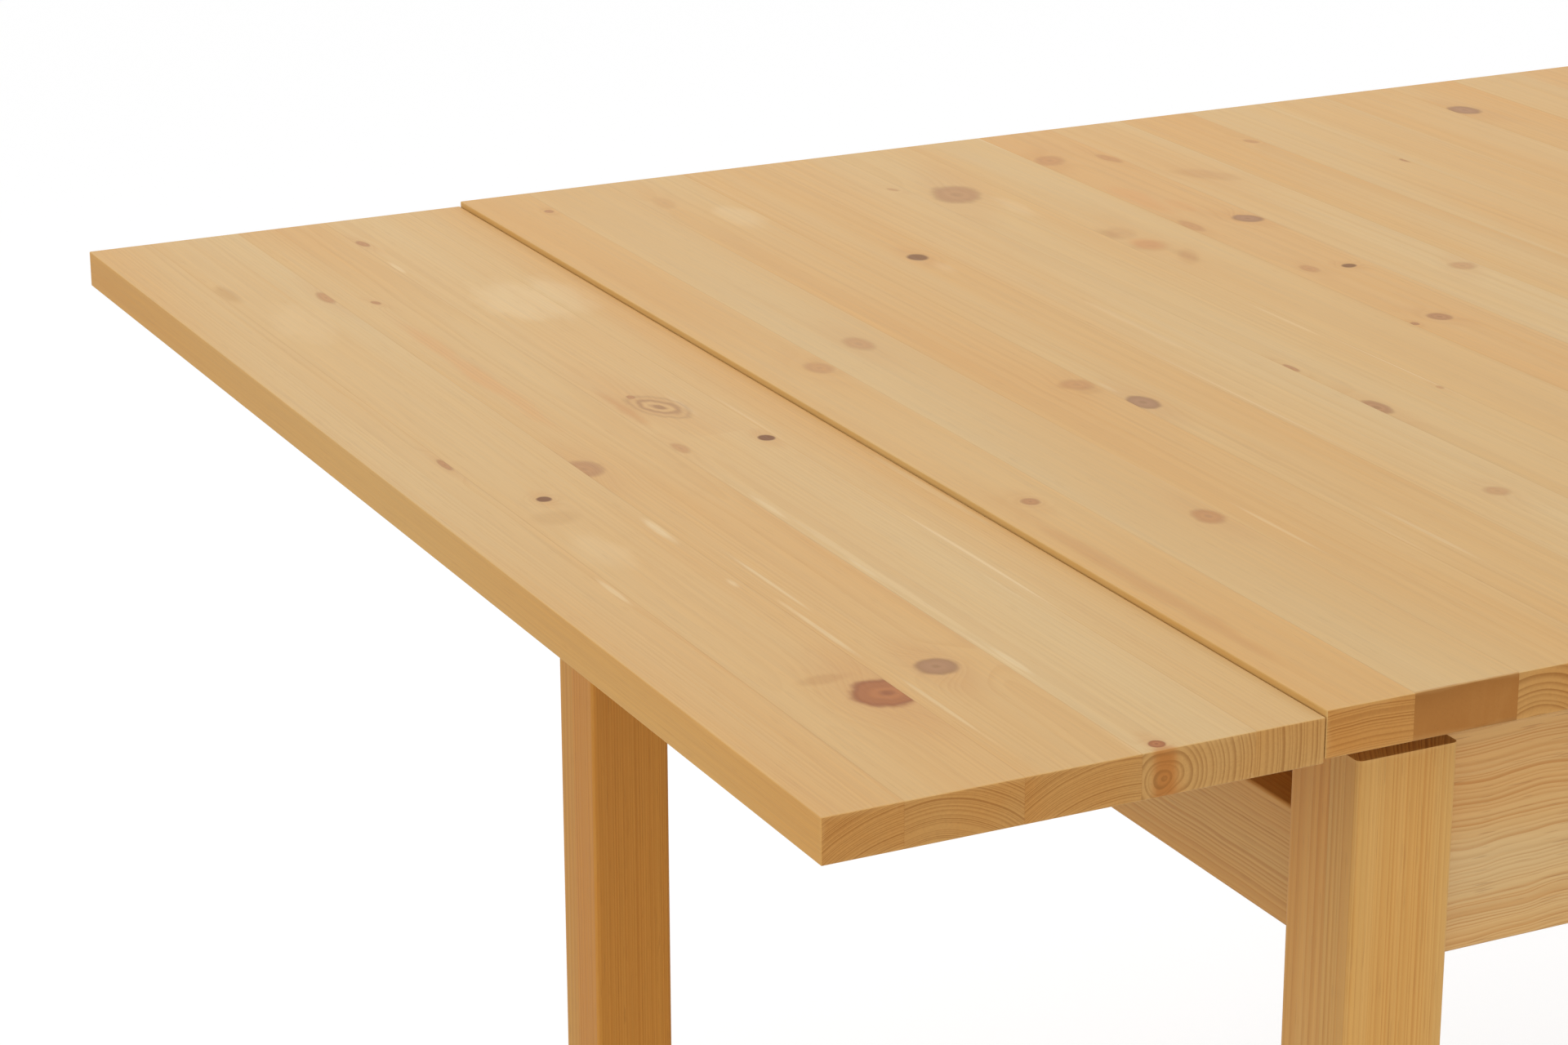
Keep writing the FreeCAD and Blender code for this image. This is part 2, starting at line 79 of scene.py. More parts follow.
# Studio: the world's light, how far the floor reaches, how much it shines for the camera and how
# rough it is, then each lamp's place, aim, size and watts.
WORLD_LIGHT = 0.9
FLOOR_REACH = 14.0
FLOOR_GLOW = 0.42
FLOOR_ROUGHNESS = 0.9
LAMPS = {"front lamp": ((0.6, -3.4, 1.1), (0.0, 0.0, 0.45), 2.2, 18.0),
         "back lamp": ((-0.1, 1.35, 2.0), (-0.1, 0.4, 0.74), 1.2, 5.0),
         "left lamp": ((-4.0, -0.6, 1.2), (0.0, 0.0, 0.4), 2.2, 18.0)}

# Boards glued up from staves: where a joint lies and how wide the staves are; the rounding of
# the arrises; the groove along each joint and how many lines of the mesh it takes; how near
# points are joined; the first stave in the lists of tones; how far from the low side the first
# joint lies; how long a cell of the mesh is.
TOP_JOINT = -464.0 * MM
TOP_STAVE = 44.73 * MM
LEAF_JOINT = -668.0 * MM
LEAF_STAVE = 46.0 * MM
ARRIS_RADIUS = 0.5 * MM
ARRIS_STEPS = 3
ARRIS_ANGLE = math.radians(60)
GROOVE_DEPTH = 0.06 * MM
GROOVE_HALF = 0.25 * MM
GROOVE_LINES = 3.0
WELD_REACH = 0.2 * GROOVE_HALF
FIRST_STAVE = -1
RIGHT_LEAF_FIRST = 20 * MM
CENTRE_BOARD_FIRST = 30 * MM
CELL_LENGTH = 10 * MM

# The legs' glue joint, how wide their staves are taken to be, and how the bearers slope.
LEG_LAMINATION = 17.5 * MM
LEG_STAVE = 60 * MM
BEARER_SLOPE = 0.0829

# Felt strips: width, how many pieces their mesh has, how ragged their cut edges are, and how
# fine and how strongly their fibres are bent.
FELT_WIDTH = 24 * MM
FELT_ROWS = 120
FELT_COLUMNS = 6
FELT_RAGGED = 0.25 * MM
WOOL_CELL = 0.4 * MM
WOOL_BEND = 0.3 * MM

# A stave's tone: how honey-coloured, how rosy and how pale it is.
TONES = {"honey": (0.65, 0.06, 0.0), "plain": (0.50, 0.04, 0.02), "straw": (0.38, 0.0, 0.06),
         "rose": (0.59, 0.18, 0.0), "pale": (0.39, 0.0, 0.11), "brown": (1.0, 0.30, 0.0),
         "amber": (0.70, 0.06, 0.0)}
TOP_TONES = ("honey straw plain plain pale plain straw rose pale honey straw plain straw honey "
             "plain rose pale straw plain honey pale plain straw rose plain straw honey").split()
LEAF_TONES = "plain straw plain pale plain".split()
RIGHT_LEAF_TONES = "straw plain honey straw pale".split()

# A knot's look: how strong, how grey against red, and how ringed, where a value below 0 is
# dark all over and one above 1 leaves only the rings.
KNOTS = {"red": (0.95, 0.1, 0.4), "grey": (0.78, 0.85, 0.2), "pin": (0.90, 0.6, -1.0),
         "tan": (0.38, 0.12, 0.3), "faint": (0.20, 0.1, 0.2), "brown": (0.62, 0.3, 0.25),
         "rosy": (0.50, 0.0, 0.3), "dull": (0.55, 0.5, 0.3), "ghost": (0.50, 0.3, 1.4),
         "umber": (0.66, 0.50, 0.5), "bark": (0.82, 0.7, -1.0)}

# Knots on the left leaf, in mm: middle, half width, half length, turn in degrees, look.
LEAF_KNOTS = (
    (-627, -310, 14, 14.5, 0, "red"), (-599, -295, 8.5, 9.5, 0, "grey"),
    (-567, -394.3, 3.3, 3.4, 0, "red"), (-650.4, -56.7, 3.3, 3.6, 0, "pin"),
    (-533.8, -24, 3.8, 4.4, 0, "pin"), (-620, -28, 9, 12, 0, "dull"),
    (-573, 352, 2.6, 7, -8, "brown"), (-624, 267, 4, 12, 0, "rosy"),
    (-606, 248, 2.0, 4, -15, "brown"), (-561, 55, 2.2, 3.2, 0, "brown"),
    (-556, 37, 11, 21, -12, "ghost"), (-572.5, -21, 3.4, 9, 0, "tan"),
    (-669.5, 3, 2.2, 9, 0, "brown"))

# Knots on the main top, in mm, told the same way.
TOP_KNOTS = (
    (-343, 195.6, 5.6, 6.4, 0, "bark"), (-480, -155, 4.2, 5, 0, "brown"),
    (-369.5, -59.7, 6.5, 10.5, 0, "grey"), (-382, -24.4, 9, 9, 20, "tan"),
    (-426, -202.6, 7, 10.5, 0, "rosy"), (-438, 75.6, 7, 13, 0, "tan"),
    (-471, 50, 7, 10, 0, "tan"), (-468.5, 360, 2.6, 3.4, 0, "brown"),
    (-409, 348, 6, 15, 8, "faint"), (-267, 296, 14, 20, 18, "dull"),
    (-291, 320, 2.4, 5, -20, "tan"), (-283.5, -111.5, 6, 11, 0, "umber"),
    (-284, -45.6, 2, 7, 0, "brown"), (-305, -229, 6.0, 7, 0, "tan"),
    (-231, 190, 9, 14, 24, "faint"), (-230, 162, 11, 12, 0, "faint"),
    (-224, 137, 6, 16, 28, "faint"), (-192, 186, 4.6, 13, 0, "tan"),
    (-159, 186, 7.5, 8.5, -30, "grey"), (-184, 91, 4.6, 8, 0, "tan"),
    (-164, 87, 4.2, 3.6, -20, "bark"), (-177, -7, 5.4, 7, -20, "umber"),
    (-194, -11.5, 2.2, 2.8, 0, "umber"), (-115, 62, 8, 8, 30, "tan"),
    (-187, 337, 9, 13, 28, "tan"), (-156, 327, 4.4, 12, -8, "tan"),
    (-128.5, 273, 10, 22, -34, "faint"), (-67, 325.6, 3.4, 6, -20, "tan"),
    (-17, 251, 2.2, 5, -12, "brown"), (80, 334, 8.5, 11.5, -15, "grey"),
    (-242, -99.7, 2, 3, 0, "tan"))

# Knots by chance, where the photo shows none of the board: gaps along a stave and half widths
# in mm, the widest pin, places across a stave, how drawn out they are, their turns in degrees,
# their looks, and how many the right leaf has against the main top.
KNOT_GAPS = (90, 420)
KNOT_WIDTHS = (1.5, 9.0)
PIN_WIDEST = 4.5
KNOT_SIDES = (0.1, 0.9)
KNOT_STRETCHES = (1.1, 2.0)
KNOT_TURNS = (-25, 25)
CHANCE_LOOKS = ("pin", "tan", "brown", "faint", "grey")
LEAF_KNOT_SHARE = 0.8

# The photo's right edge on the main top: a point of it in mm, and how it slants.
PHOTO_CUT = (40, 100)
PHOTO_CUT_SLANT = 0.55

# What is added to a knot's or mark's half length, in mm, when the nearest ones are picked.
SPOT_MARGIN = 4.0

# Soft marks in the wood, in mm: middle, half width, half length, then how pale, rosy and deep.
LEAF_MARKS = (
    (-543, 222, 26, 52, 0.5, 0, 0), (-650, 232, 22, 44, 0.28, 0, 0),
    (-656, -122, 12, 30, 0.3, 0, 0), (-664, 292, 5, 18, 0, 0, 0.4),
    (-655, -80, 12, 10, 0, 0, 0.25), (-608, 120, 6, 100, 0, 0.5, 0),
    (-640, -288, 12, 5, 0, 0, 0.35), (-567, -401, 6, 5, 0, 1.0, 0.6),
    (-571, 40, 4, 30, 0, 0.5, 0.25), (-546, 35, 2.0, 24, 0.5, 0, 0),
    (-625, -112, 3, 20, 0.75, 0, 0), (-626, -182, 2.2, 8, 0.6, 0, 0),
    (-670.3, -172, 1.6, 18, 0.6, 0, 0), (-613, -185, 1.0, 42, 0.6, 0, 0),
    (-619, -240, 1.5, 34, 0.6, 0, 0), (-616, -335, 1.2, 40, 0.5, 0, 0),
    (-574, 302, 1.8, 16, 0.6, 0, 0), (-573.5, -110, 1.8, 26, 0.6, 0, 0),
    (-573.5, -190, 1.6, 20, 0.6, 0, 0), (-572, -300, 2.2, 30, 0.7, 0, 0),
    (-536, -230, 1.2, 30, 0.4, 0, 0), (-505, -120, 2.0, 60, 0.3, 0, 0),
    (-522, 224, 12, 44, 0.42, 0, 0), (-571.5, -200, 2.4, 150, 0.35, 0, 0))
TOP_MARKS = (
    (-386, 305, 12, 34, 0.35, 0, 0), (-251, 258, 8, 24, 0.25, 0, 0),
    (-186, 246, 12, 40, 0, 0.55, 0), (-175, 226, 8, 20, 0, 0.5, 0),
    (-230, 166, 10, 15, 0, 0.65, 0.1), (-224, 137, 5, 18, 0, 0, 0.35),
    (-237, 192, 6, 14, 0, 0, 0.3), (-441.5, -400.5, 60, 1.6, 0, 0.3, 0.9),
    (-490, -260, 6, 110, 0, 0.3, 0.25), (-381, -34, 7, 7, 0, 0, 0.25),
    (-372, -34, 1.6, 12, 0.4, 0, 0), (-360, -260, 1.2, 50, 0.4, 0, 0),
    (-409, -230, 1.0, 40, 0.4, 0, 0), (-244, 20, 1.2, 40, 0.35, 0, 0),
    (-310, 40, 3.0, 60, 0.3, 0, 0), (-340, 175, 5, 14, 0.25, 0, 0))

# Where a stave's pith lies, in mm across and in depth, and its share of the board's ring width.
LEAF_HEARTS = {2: (-13.5, -2, 0.9), 3: (-95, 2, 0.8), -1: (30, -60, 0.45), 0: (-12, -45, 0.5),
               1: (15, -60, 0.45)}
TOP_HEARTS = {-1: (4, -180, 0.6), 0: (20, -260, 7.0)}

# What a stave gets by chance: its shift along the grain in metres, how deep and how far
# sideways its pith lies in mm, and its share of the board's ring width, which follows.
STAVE_SHIFTS = (0, 7)
HEART_DEPTHS = (25, 70)
HEART_SIDES = (-60, 60)
RING_SHARES = (0.8, 1.25)
TOP_RING = 2.4 * MM
LEFT_LEAF_RING = 2.1 * MM
RIGHT_LEAF_RING = 2.2 * MM

# How the other pine grew: ring width, how the rings wander and ripple, where the pith lies
# across and in depth, how it leans, how many knots there are, and how strong the late wood
# and the streaks show, with each piece's tone and tint; the far back leg's tint is painted shade
# and the bearers' tint is painted light.
CENTRE_BOARD_PINE = {"contrast": 0.4, "share": 0.3}
LEG_PINE = {"ring": 1.5 * MM, "wander": 1.4 * MM, "pith": (-95 * MM, 90 * MM),
            "lean": (0.006, 0.0, 0.004), "share": 0.04, "contrast": 0.5, "streaks": 0.7}
LEG_TINT = (1.01, 1.04, 0.99)
# The far back leg's tint is painted shade: darker and browner, as it looks in the table's shadow.
DARK_LEG_TINT = (0.93, 0.83, 0.50)
END_APRON_PINE = {"ring": 1.5 * MM, "wander": 2.6 * MM, "ripple": 1.5 * MM,
                  "pith": (-90 * MM, -80 * MM), "lean": (-0.012, 0.0, 0.0), "share": 0.1,
                  "contrast": 0.75, "streaks": 0.7, "tone": "amber",
                  "tint": (0.98, 0.98, 0.95)}
SIDE_APRON_PINE = {"ring": 2.0 * MM, "wander": 16 * MM, "ripple": 7 * MM,
                   "lean": (0.02, 0.0, 0.006), "share": 0.15, "contrast": 0.75,
                   "streaks": 1.3, "tone": "plain", "tint": (1.06, 1.15, 1.40)}
SIDE_APRON_PITH = (12 * MM, 52 * MM)
# The bearers' tint is painted light: lighter and more orange than their wood, where they stand in
# the shade under the leaf.
BEARER_PINE = {"ring": 2.0 * MM, "pith": (-70 * MM, 20 * MM), "share": 0.15,
               "tone": "amber", "tint": (1.25, 1.10, 0.85)}
SMALL_PINE = {"share": 0.1}

# The seeds of all that is random, and how much a leg's goes up with a metre of its place.
SEEDS = {"main top": 3, "top knots": 7, "left leaf": 5, "right leaf": 8, "leaf knots": 8,
         "centre board": 11.0, "felt": 17, "legs": 1.0, "end aprons": 21.0, "bearers": 31.0,
         "side aprons": 44.0, "small parts": 51.0}
LEG_SEED_STEP = 3.7

# How fine each noise is, about how many of its waves go into a metre on each axis, and how far
# noise pushes the edges of knots and marks.
PATTERNS = {"ring bend": (16, 1.5, 16), "ring sway": (70, 10, 70), "ring ripple": (26, 26, 26),
            "fibre": (900, 14, 900), "streak": (120, 2.2, 120), "canal": (1500, 55, 1500),
            "knot edge": (130, 85, 40), "mark edge": (70, 30, 20), "wear": (38, 38, 38),
            "beech fleck": (1100, 260, 1100), "zinc cloud": (180, 180, 180),
            "zinc grit": (2600, 2600, 2600), "zinc scratch": (300, 5200, 300),
            "nylon grit": (1800, 1800, 1800), "nylon scuff": (160, 420, 160),
            "wool along": (4200, 700, 4200), "wool across": (700, 4200, 4200),
            "wool tuft": (240, 240, 240)}
KNOT_RAGGED = 0.40
MARK_RAGGED = 1.1

# What the pine's red, green and blue are multiplied by on each board, told by which way a face
# looks. These tints are painted light: on the faces looking up a paler, bluer tint paints the
# lacquer's sheen, and the side and end faces get tints that paint how the light falls on them.
TOP_TINT = Vector((1.02, 1.10, 1.32))
LEAF_TINT = Vector((1.03, 1.10, 1.31))
SIDE_TINT = Vector((1.01, 0.97, 0.88))
EDGE_TINT = Vector((1.02, 1.16, 1.30))

# How much the tops and the other pine shine.
TOP_GLOSS = 0.08
PINE_GLOSS = 0.2

# How the glued boards' rings wander, how strong their late wood and streaks show, and how
# strong late wood shows on end grain; how wide worn arrises are; how large the other pine's
# knots by chance are and how far across they spread; where its pith may lie; how wide a stave
# is taken to be for a piece that is one; how far knots lean; how far tones swing.
BOARD_WANDER = 3.0 * MM
BOARD_CONTRAST = 0.16
BOARD_END_CONTRAST = 0.6
BOARD_STREAKS = 0.35
END_CONTRAST = 0.9
WEAR_WIDTH = 2 * MM
CHANCE_KNOT = 5 * MM
CHANCE_SPREAD = 50 * MM
CHANCE_PITH_ACROSS = (-50 * MM, 50 * MM)
CHANCE_PITH_DEPTH = (-70 * MM, -25 * MM)
LONE_STAVE = 1.2
KNOT_LEAN = (0.7, 0.9, 0.0)
PINE_SWING = (2.2, 0.8, -0.8)
BOARD_SWING = (1.4, 0.5, -0.4)

# Bumps: how deep they are and how strong.
BUMPS = {"pine": (0.12 * MM, 0.5), "beech": (0.1 * MM, 0.5), "zinc": (0.02 * MM, 0.4),
         "nylon": (0.05 * MM, 0.4), "felt": (0.3 * MM, 0.8)}

# Screws and bolts: how many sides their round parts have, how thick a shank is against its
# head's narrow end, how much of the head the shank starts below, and a thread's steps and sides.
HEAD_SIDES = 24
SHANK_SIDES = 12
SHANK_SHARE = 0.98
SHANK_START = 0.9
BOLT_SIDES = 24
THREAD_STEPS = 14
THREAD_SIDES = 3


def paint(red, green, blue):
    """A colour written as 0 to 255 screen values, as the linear colour that shaders take."""
    shares = [v / 255 for v in (red, green, blue)]
    linear = [v / 12.92 if v <= 0.04045 else ((v + 0.055) / 1.055) ** 2.4 for v in shares]
    return (*linear, 1.0)


# The colours of wood, metal, nylon, felt and floor.
PAINTS = {name: paint(*screen) for name, screen in {
    "early straw": (206, 168, 108), "early honey": (210, 156, 84), "early rose": (210, 146, 80),
    "late straw": (184, 132, 70), "late honey": (184, 116, 48), "pale wood": (226, 194, 138),
    "dark streak": (192, 130, 62), "light streak": (220, 182, 120), "flame": (232, 200, 146),
    "resin": (140, 84, 38), "deep wood": (168, 112, 50), "knot halo": (190, 124, 62),
    "glue line": (150, 94, 46), "worn arris": (226, 188, 130), "red knot": (176, 104, 46),
    "red ring": (118, 48, 16), "ashen knot": (156, 113, 78), "ashen ring": (112, 74, 26),
    "beech dark": (206, 164, 120), "beech light": (222, 184, 142), "beech fleck": (150, 102, 66),
    "nylon dark": (206, 200, 188), "nylon light": (222, 218, 206), "nylon scuff": (168, 158, 142),
    "wool dark": (150, 146, 138), "wool light": (196, 192, 182), "wool tuft": (132, 128, 122),
    "yellow zinc": (214, 190, 122), "yellow zinc dark": (176, 146, 80),
    "yellow zinc tinge": (196, 178, 140), "zinc": (206, 208, 210), "zinc dark": (150, 154, 160),
    "zinc tinge": (186, 194, 204), "floor": (205, 205, 205)}.items()}


class Bench:
    """Where one node tree is put together: each call adds a node and hands back its output."""

    def __init__(self, tree):
        self.tree = tree

    def feed(self, socket, value):
        if isinstance(value, bpy.types.NodeSocket):
            self.tree.links.new(value, socket)
        else:
            socket.default_value = value

    def node(self, kind, inputs=None, **settings):
        made = self.tree.nodes.new(kind)
        for key, value in settings.items():
            setattr(made, key, value)
        for key, value in (inputs or {}).items():
            self.feed(made.inputs[key], value)
        return made

    def shape(self, kind, inputs=None, **settings):
        """The first output of a Geometry Nodes step, told by its name without the prefix."""
        return self.node("GeometryNode" + kind, inputs, **settings).outputs[0]

    def group(self, tree, **inputs):
        """The outputs of a shader group that is given its inputs by their names."""
        named = {titled(name): value for name, value in inputs.items()}
        return self.node("ShaderNodeGroup", named, node_tree=tree).outputs

    def math(self, how, *values, clamp=False):
        made = self.node("ShaderNodeMath", operation=how, use_clamp=clamp)
        for place, value in enumerate(values):
            self.feed(made.inputs[place], value)
        return made.outputs[0]

    def plus(self, one, other):
        return self.math("ADD", one, other)

    def minus(self, one, other):
        return self.math("SUBTRACT", one, other)

    def times(self, one, other):
        return self.math("MULTIPLY", one, other)

    def over(self, one, other):
        return self.math("DIVIDE", one, other)

    def times_plus(self, one, other, more):
        return self.math("MULTIPLY_ADD", one, other, more)

    def pushed(self, value, noise, reach):
        """A value moved up and down by a noise about 0.5."""
        return self.times_plus(self.minus(noise, 0.5), reach, value)

    def sums(self, how, *values):
        """A vector sum, such as ADD, MULTIPLY or LENGTH."""
        made = self.node("ShaderNodeVectorMath", operation=how)
        for place, value in enumerate(values):
            self.feed(made.inputs[place], value)
        return made.outputs["Value" if how == "LENGTH" else "Vector"]

    def parts(self, vector):
        return self.node("ShaderNodeSeparateXYZ", {0: vector}).outputs

    def vector(self, x, y, z):
        return self.node("ShaderNodeCombineXYZ", {0: x, 1: y, 2: z}).outputs[0]

    def step(self, value, low, high, to_low=0.0, to_high=1.0, smooth=True):
        """Runs from to_low to to_high as value goes from low to high."""
        kind = "SMOOTHSTEP" if smooth else "LINEAR"
        made = self.node("ShaderNodeMapRange", interpolation_type=kind)
        for place, given in enumerate((value, low, high, to_low, to_high)):
            self.feed(made.inputs[place], given)
        return made.outputs[0]

    def mix(self, share, first, second, sort="RGBA"):
        """Goes from first to second as share rises; a colour may be told by its name."""
        made = self.node("ShaderNodeMix", data_type=sort, clamp_factor=True)
        one, other, out = {"FLOAT": (2, 3, 0), "VECTOR": (4, 5, 1), "RGBA": (6, 7, 2)}[sort]
        for place, value in ((0, share), (one, first), (other, second)):
            self.feed(made.inputs[place], PAINTS[value] if isinstance(value, str) else value)
        return made.outputs[out]

    def noise(self, place, detail, pattern):
        """Soft noise about 0.5, as fine on each axis as a pattern says."""
        place = self.sums("MULTIPLY", place, PATTERNS[pattern])
        made = self.node("ShaderNodeTexNoise", {"Vector": place, "Scale": 1.0, "Detail": detail})
        return made.outputs[0]

    def chance(self, place):
        """Three even random numbers for each value of a vector."""
        made = self.node("ShaderNodeTexWhiteNoise", {"Vector": place}, noise_dimensions="3D")
        return made.outputs["Color"]


SOCKETS = {float: "NodeSocketFloat", int: "NodeSocketInt", Vector: "NodeSocketVector",
           tuple: "NodeSocketColor", bpy.types.Material: "NodeSocketMaterial",
           bpy.types.Mesh: "NodeSocketGeometry"}


def titled(name):
    return name.replace("_", " ").title()


def add_sockets(tree, way, sorts):
    """Adds sockets to a tree, by name and sort; hands back the last one."""
    for name, sort in sorts.items():
        made = tree.interface.new_socket(titled(name), in_out=way, socket_type=SOCKETS[sort])
    return made


def named_inputs(tree, build):
    """Gives a tree the inputs of a function that have first values; hands back their names."""
    wanted = [told for told in inspect.signature(build).parameters.values()
              if told.default is not told.empty]
    for told in wanted:
        first = told.default
        add_sockets(tree, "INPUT", {told.name: type(first)}).default_value = first
    return [titled(told.name) for told in wanted]


def recipe(**outputs):
    """Makes a shader group of a function whose named inputs are the group's, with first values,
    and which hands back the group's outputs."""
    def keep(build):
        tree = bpy.data.node_groups.new(build.__name__, "ShaderNodeTree")
        names = named_inputs(tree, build)
        add_sockets(tree, "OUTPUT", outputs)
        bench = Bench(tree)
        given = bench.node("NodeGroupInput").outputs
        wanted = bench.node("NodeGroupOutput").inputs
        made = build(bench, *(given[name] for name in names))
        for name, value in zip(outputs, made):
            bench.feed(wanted[titled(name)], value)
        return tree
    return keep


def shape_recipe(build):
    """Makes a Geometry Nodes tree of a function that takes the incoming shape and named inputs
    and hands back a shape. The tree has one more input, the material that the shape gets."""
    tree = bpy.data.node_groups.new(build.__name__, "GeometryNodeTree")
    add_sockets(tree, "INPUT", {"geometry": bpy.types.Mesh})
    names = ["Geometry"] + named_inputs(tree, build)
    add_sockets(tree, "INPUT", {"finish": bpy.types.Material})
    add_sockets(tree, "OUTPUT", {"geometry": bpy.types.Mesh})
    bench = Bench(tree)
    given = bench.node("NodeGroupInput").outputs
    made = build(bench, *(given[name] for name in names))
    whole = bench.shape("RealizeInstances", {"Geometry": made})
    done = bench.shape("SetMaterial", {"Geometry": whole, "Material": given["Finish"]})
    bench.feed(bench.node("NodeGroupOutput").inputs[0], done)
    return tree


# First values of the recipes' inputs, the axes that knots and marks spread along, and a
# distance that is out of every knot's reach.
NO_PLACE = Vector((0.0, 0.0, 0.0))
ONES = Vector((1.0, 1.0, 1.0))
FLAT = (1.0, 1.0, 0.0)
NO_KNOT = Vector((0.0, 0.0, 99.0))
OUT_OF_REACH = 50.0


@recipe(local=Vector, number=float, luck=Vector, to_joint=float)
def stave_plan(b, place=NO_PLACE, first_joint=0.0, stave_width=0.045, seed=0.0):
    """Splits a glued board into staves across X, each with its own luck."""
    x, y, z = b.parts(place)
    steps = b.over(b.minus(x, first_joint), stave_width)
    number = b.math("FLOOR", steps)
    inside = b.minus(b.minus(steps, number), 0.5)
    across = b.times(inside, stave_width)
    luck = b.chance(b.vector(number, seed, 0.5))
    along = b.times_plus(b.parts(luck)[2], 7.0, y)
    to_joint = b.times(b.minus(0.5, b.math("ABSOLUTE", inside)), stave_width)
    return b.vector(across, along, z), number, luck, to_joint


@recipe(late_wood=float, slow=float)
def growth_rings(b, local=NO_PLACE, pith=NO_PLACE, lean=NO_PLACE, ring_width=0.0024, wander=0.004,
                 ripple=0.0, bulge=0.0, seed=0.0):
    """Year rings round a pith line that runs along Y, as a solid: end grain and faces agree."""
    y = b.parts(local)[1]
    drift = b.sums("MULTIPLY", lean, b.vector(y, 0.0, y))
    centred = b.sums("SUBTRACT", b.sums("SUBTRACT", local, pith), drift)
    x, _, z = b.parts(centred)
    seeded = b.sums("ADD", local, b.vector(seed, seed, 0.0))
    bend = b.noise(seeded, 2.5, "ring bend")
    sway = b.noise(seeded, 1.0, "ring sway")
    radius = b.sums("LENGTH", b.vector(x, 0.0, z))
    radius = b.pushed(radius, bend, wander)
    small = b.times(wander, 0.2)
    radius = b.pushed(radius, sway, small)
    wave = b.noise(seeded, 1.0, "ring ripple")
    radius = b.pushed(radius, wave, ripple)
    radius = b.plus(radius, bulge)
    count = b.over(radius, ring_width)
    uneven = b.node("ShaderNodeTexNoise", {"W": count, "Scale": 0.35, "Detail": 1.0},
                    noise_dimensions="1D").outputs[0]
    count = b.times_plus(uneven, 2.4, count)
    ring = b.math("FLOOR", count)
    share = b.minus(count, ring)
    rise = b.step(share, 0.25, 0.88)
    fall = b.step(share, 0.90, 1.0, 1.0, 0.0)
    luck = b.node("ShaderNodeTexWhiteNoise", {"W": ring}, noise_dimensions="1D").outputs[0]
    strength = b.step(luck, 0.0, 1.0, 0.45, 1.0)
    return b.times(b.times(rise, fall), strength), bend


@recipe(fibre=float, streak=float, canal=float)
def wood_fibre(b, local=NO_PLACE):
    """Fine fibres, broader streaks and resin canals, all drawn out along Y."""
    dash = b.noise(local, 0.0, "canal")
    return (b.noise(local, 3.0, "fibre"),
            b.noise(local, 2.0, "streak"), b.step(dash, 0.70, 0.78))


@recipe(best=Vector, best_kind=Vector)
def knot_pick(b, place=NO_PLACE, best=NO_KNOT, best_kind=NO_PLACE, centre=NO_PLACE, size=ONES,
              lean=NO_PLACE, turn=0.0, kind=NO_PLACE):
    """Keeps the nearer of one more knot and the best so far."""
    from_centre = b.sums("SUBTRACT", place, centre)
    depth = b.parts(from_centre)[2]
    leaning = b.sums("MULTIPLY", lean, b.vector(depth, depth, 0.0))
    flat = b.sums("MULTIPLY", b.sums("SUBTRACT", from_centre, leaning), FLAT)
    turned = b.node("ShaderNodeVectorRotate", {"Vector": flat, "Angle": turn},
                    rotation_type="Z_AXIS").outputs[0]
    sized = b.sums("DIVIDE", turned, size)
    distance = b.sums("LENGTH", sized)
    nearer = b.math("LESS_THAN", distance, b.parts(best)[2])
    u, v, _ = b.parts(sized)
    found = b.vector(u, v, distance)
    return (b.mix(nearer, best, found, "VECTOR"),
            b.mix(nearer, best_kind, kind, "VECTOR"))


@recipe(best=Vector, best_kind=Vector)
def knot_scatter(b, local=NO_PLACE, number=0.0, seed=0.0, spacing=0.19, share=0.5, radius=0.006,
                 stave_width=0.045):
    """Knots by chance along each stave, for boards whose own knots nobody saw."""
    x, y, z = b.parts(local)
    cell = b.math("FLOOR", b.over(y, spacing))
    there, sideways, onward = b.parts(b.chance(b.vector(cell, number, seed)))
    large, slant, dark = b.parts(b.chance(b.vector(number, seed, cell)))
    across = b.times(b.minus(sideways, 0.5), stave_width)
    along = b.times(b.plus(cell, b.step(onward, 0.0, 1.0, 0.3, 0.7, False)), spacing)
    radius = b.times(radius, b.step(large, 0.0, 1.0, 0.35, 1.5, False))
    lean = b.times(z, b.step(slant, 0.0, 1.0, -0.4, 0.4, False))
    u = b.over(b.minus(b.minus(x, across), lean), radius)
    v = b.over(b.minus(y, along), b.times(radius, 1.45))
    off = b.times(b.math("GREATER_THAN", there, share), OUT_OF_REACH)
    distance = b.plus(b.sums("LENGTH", b.vector(u, v, 0.0)), off)
    return (b.vector(u, v, distance),
            b.vector(b.step(dark, 0.0, 1.0, 0.3, 0.95, False), slant, large))


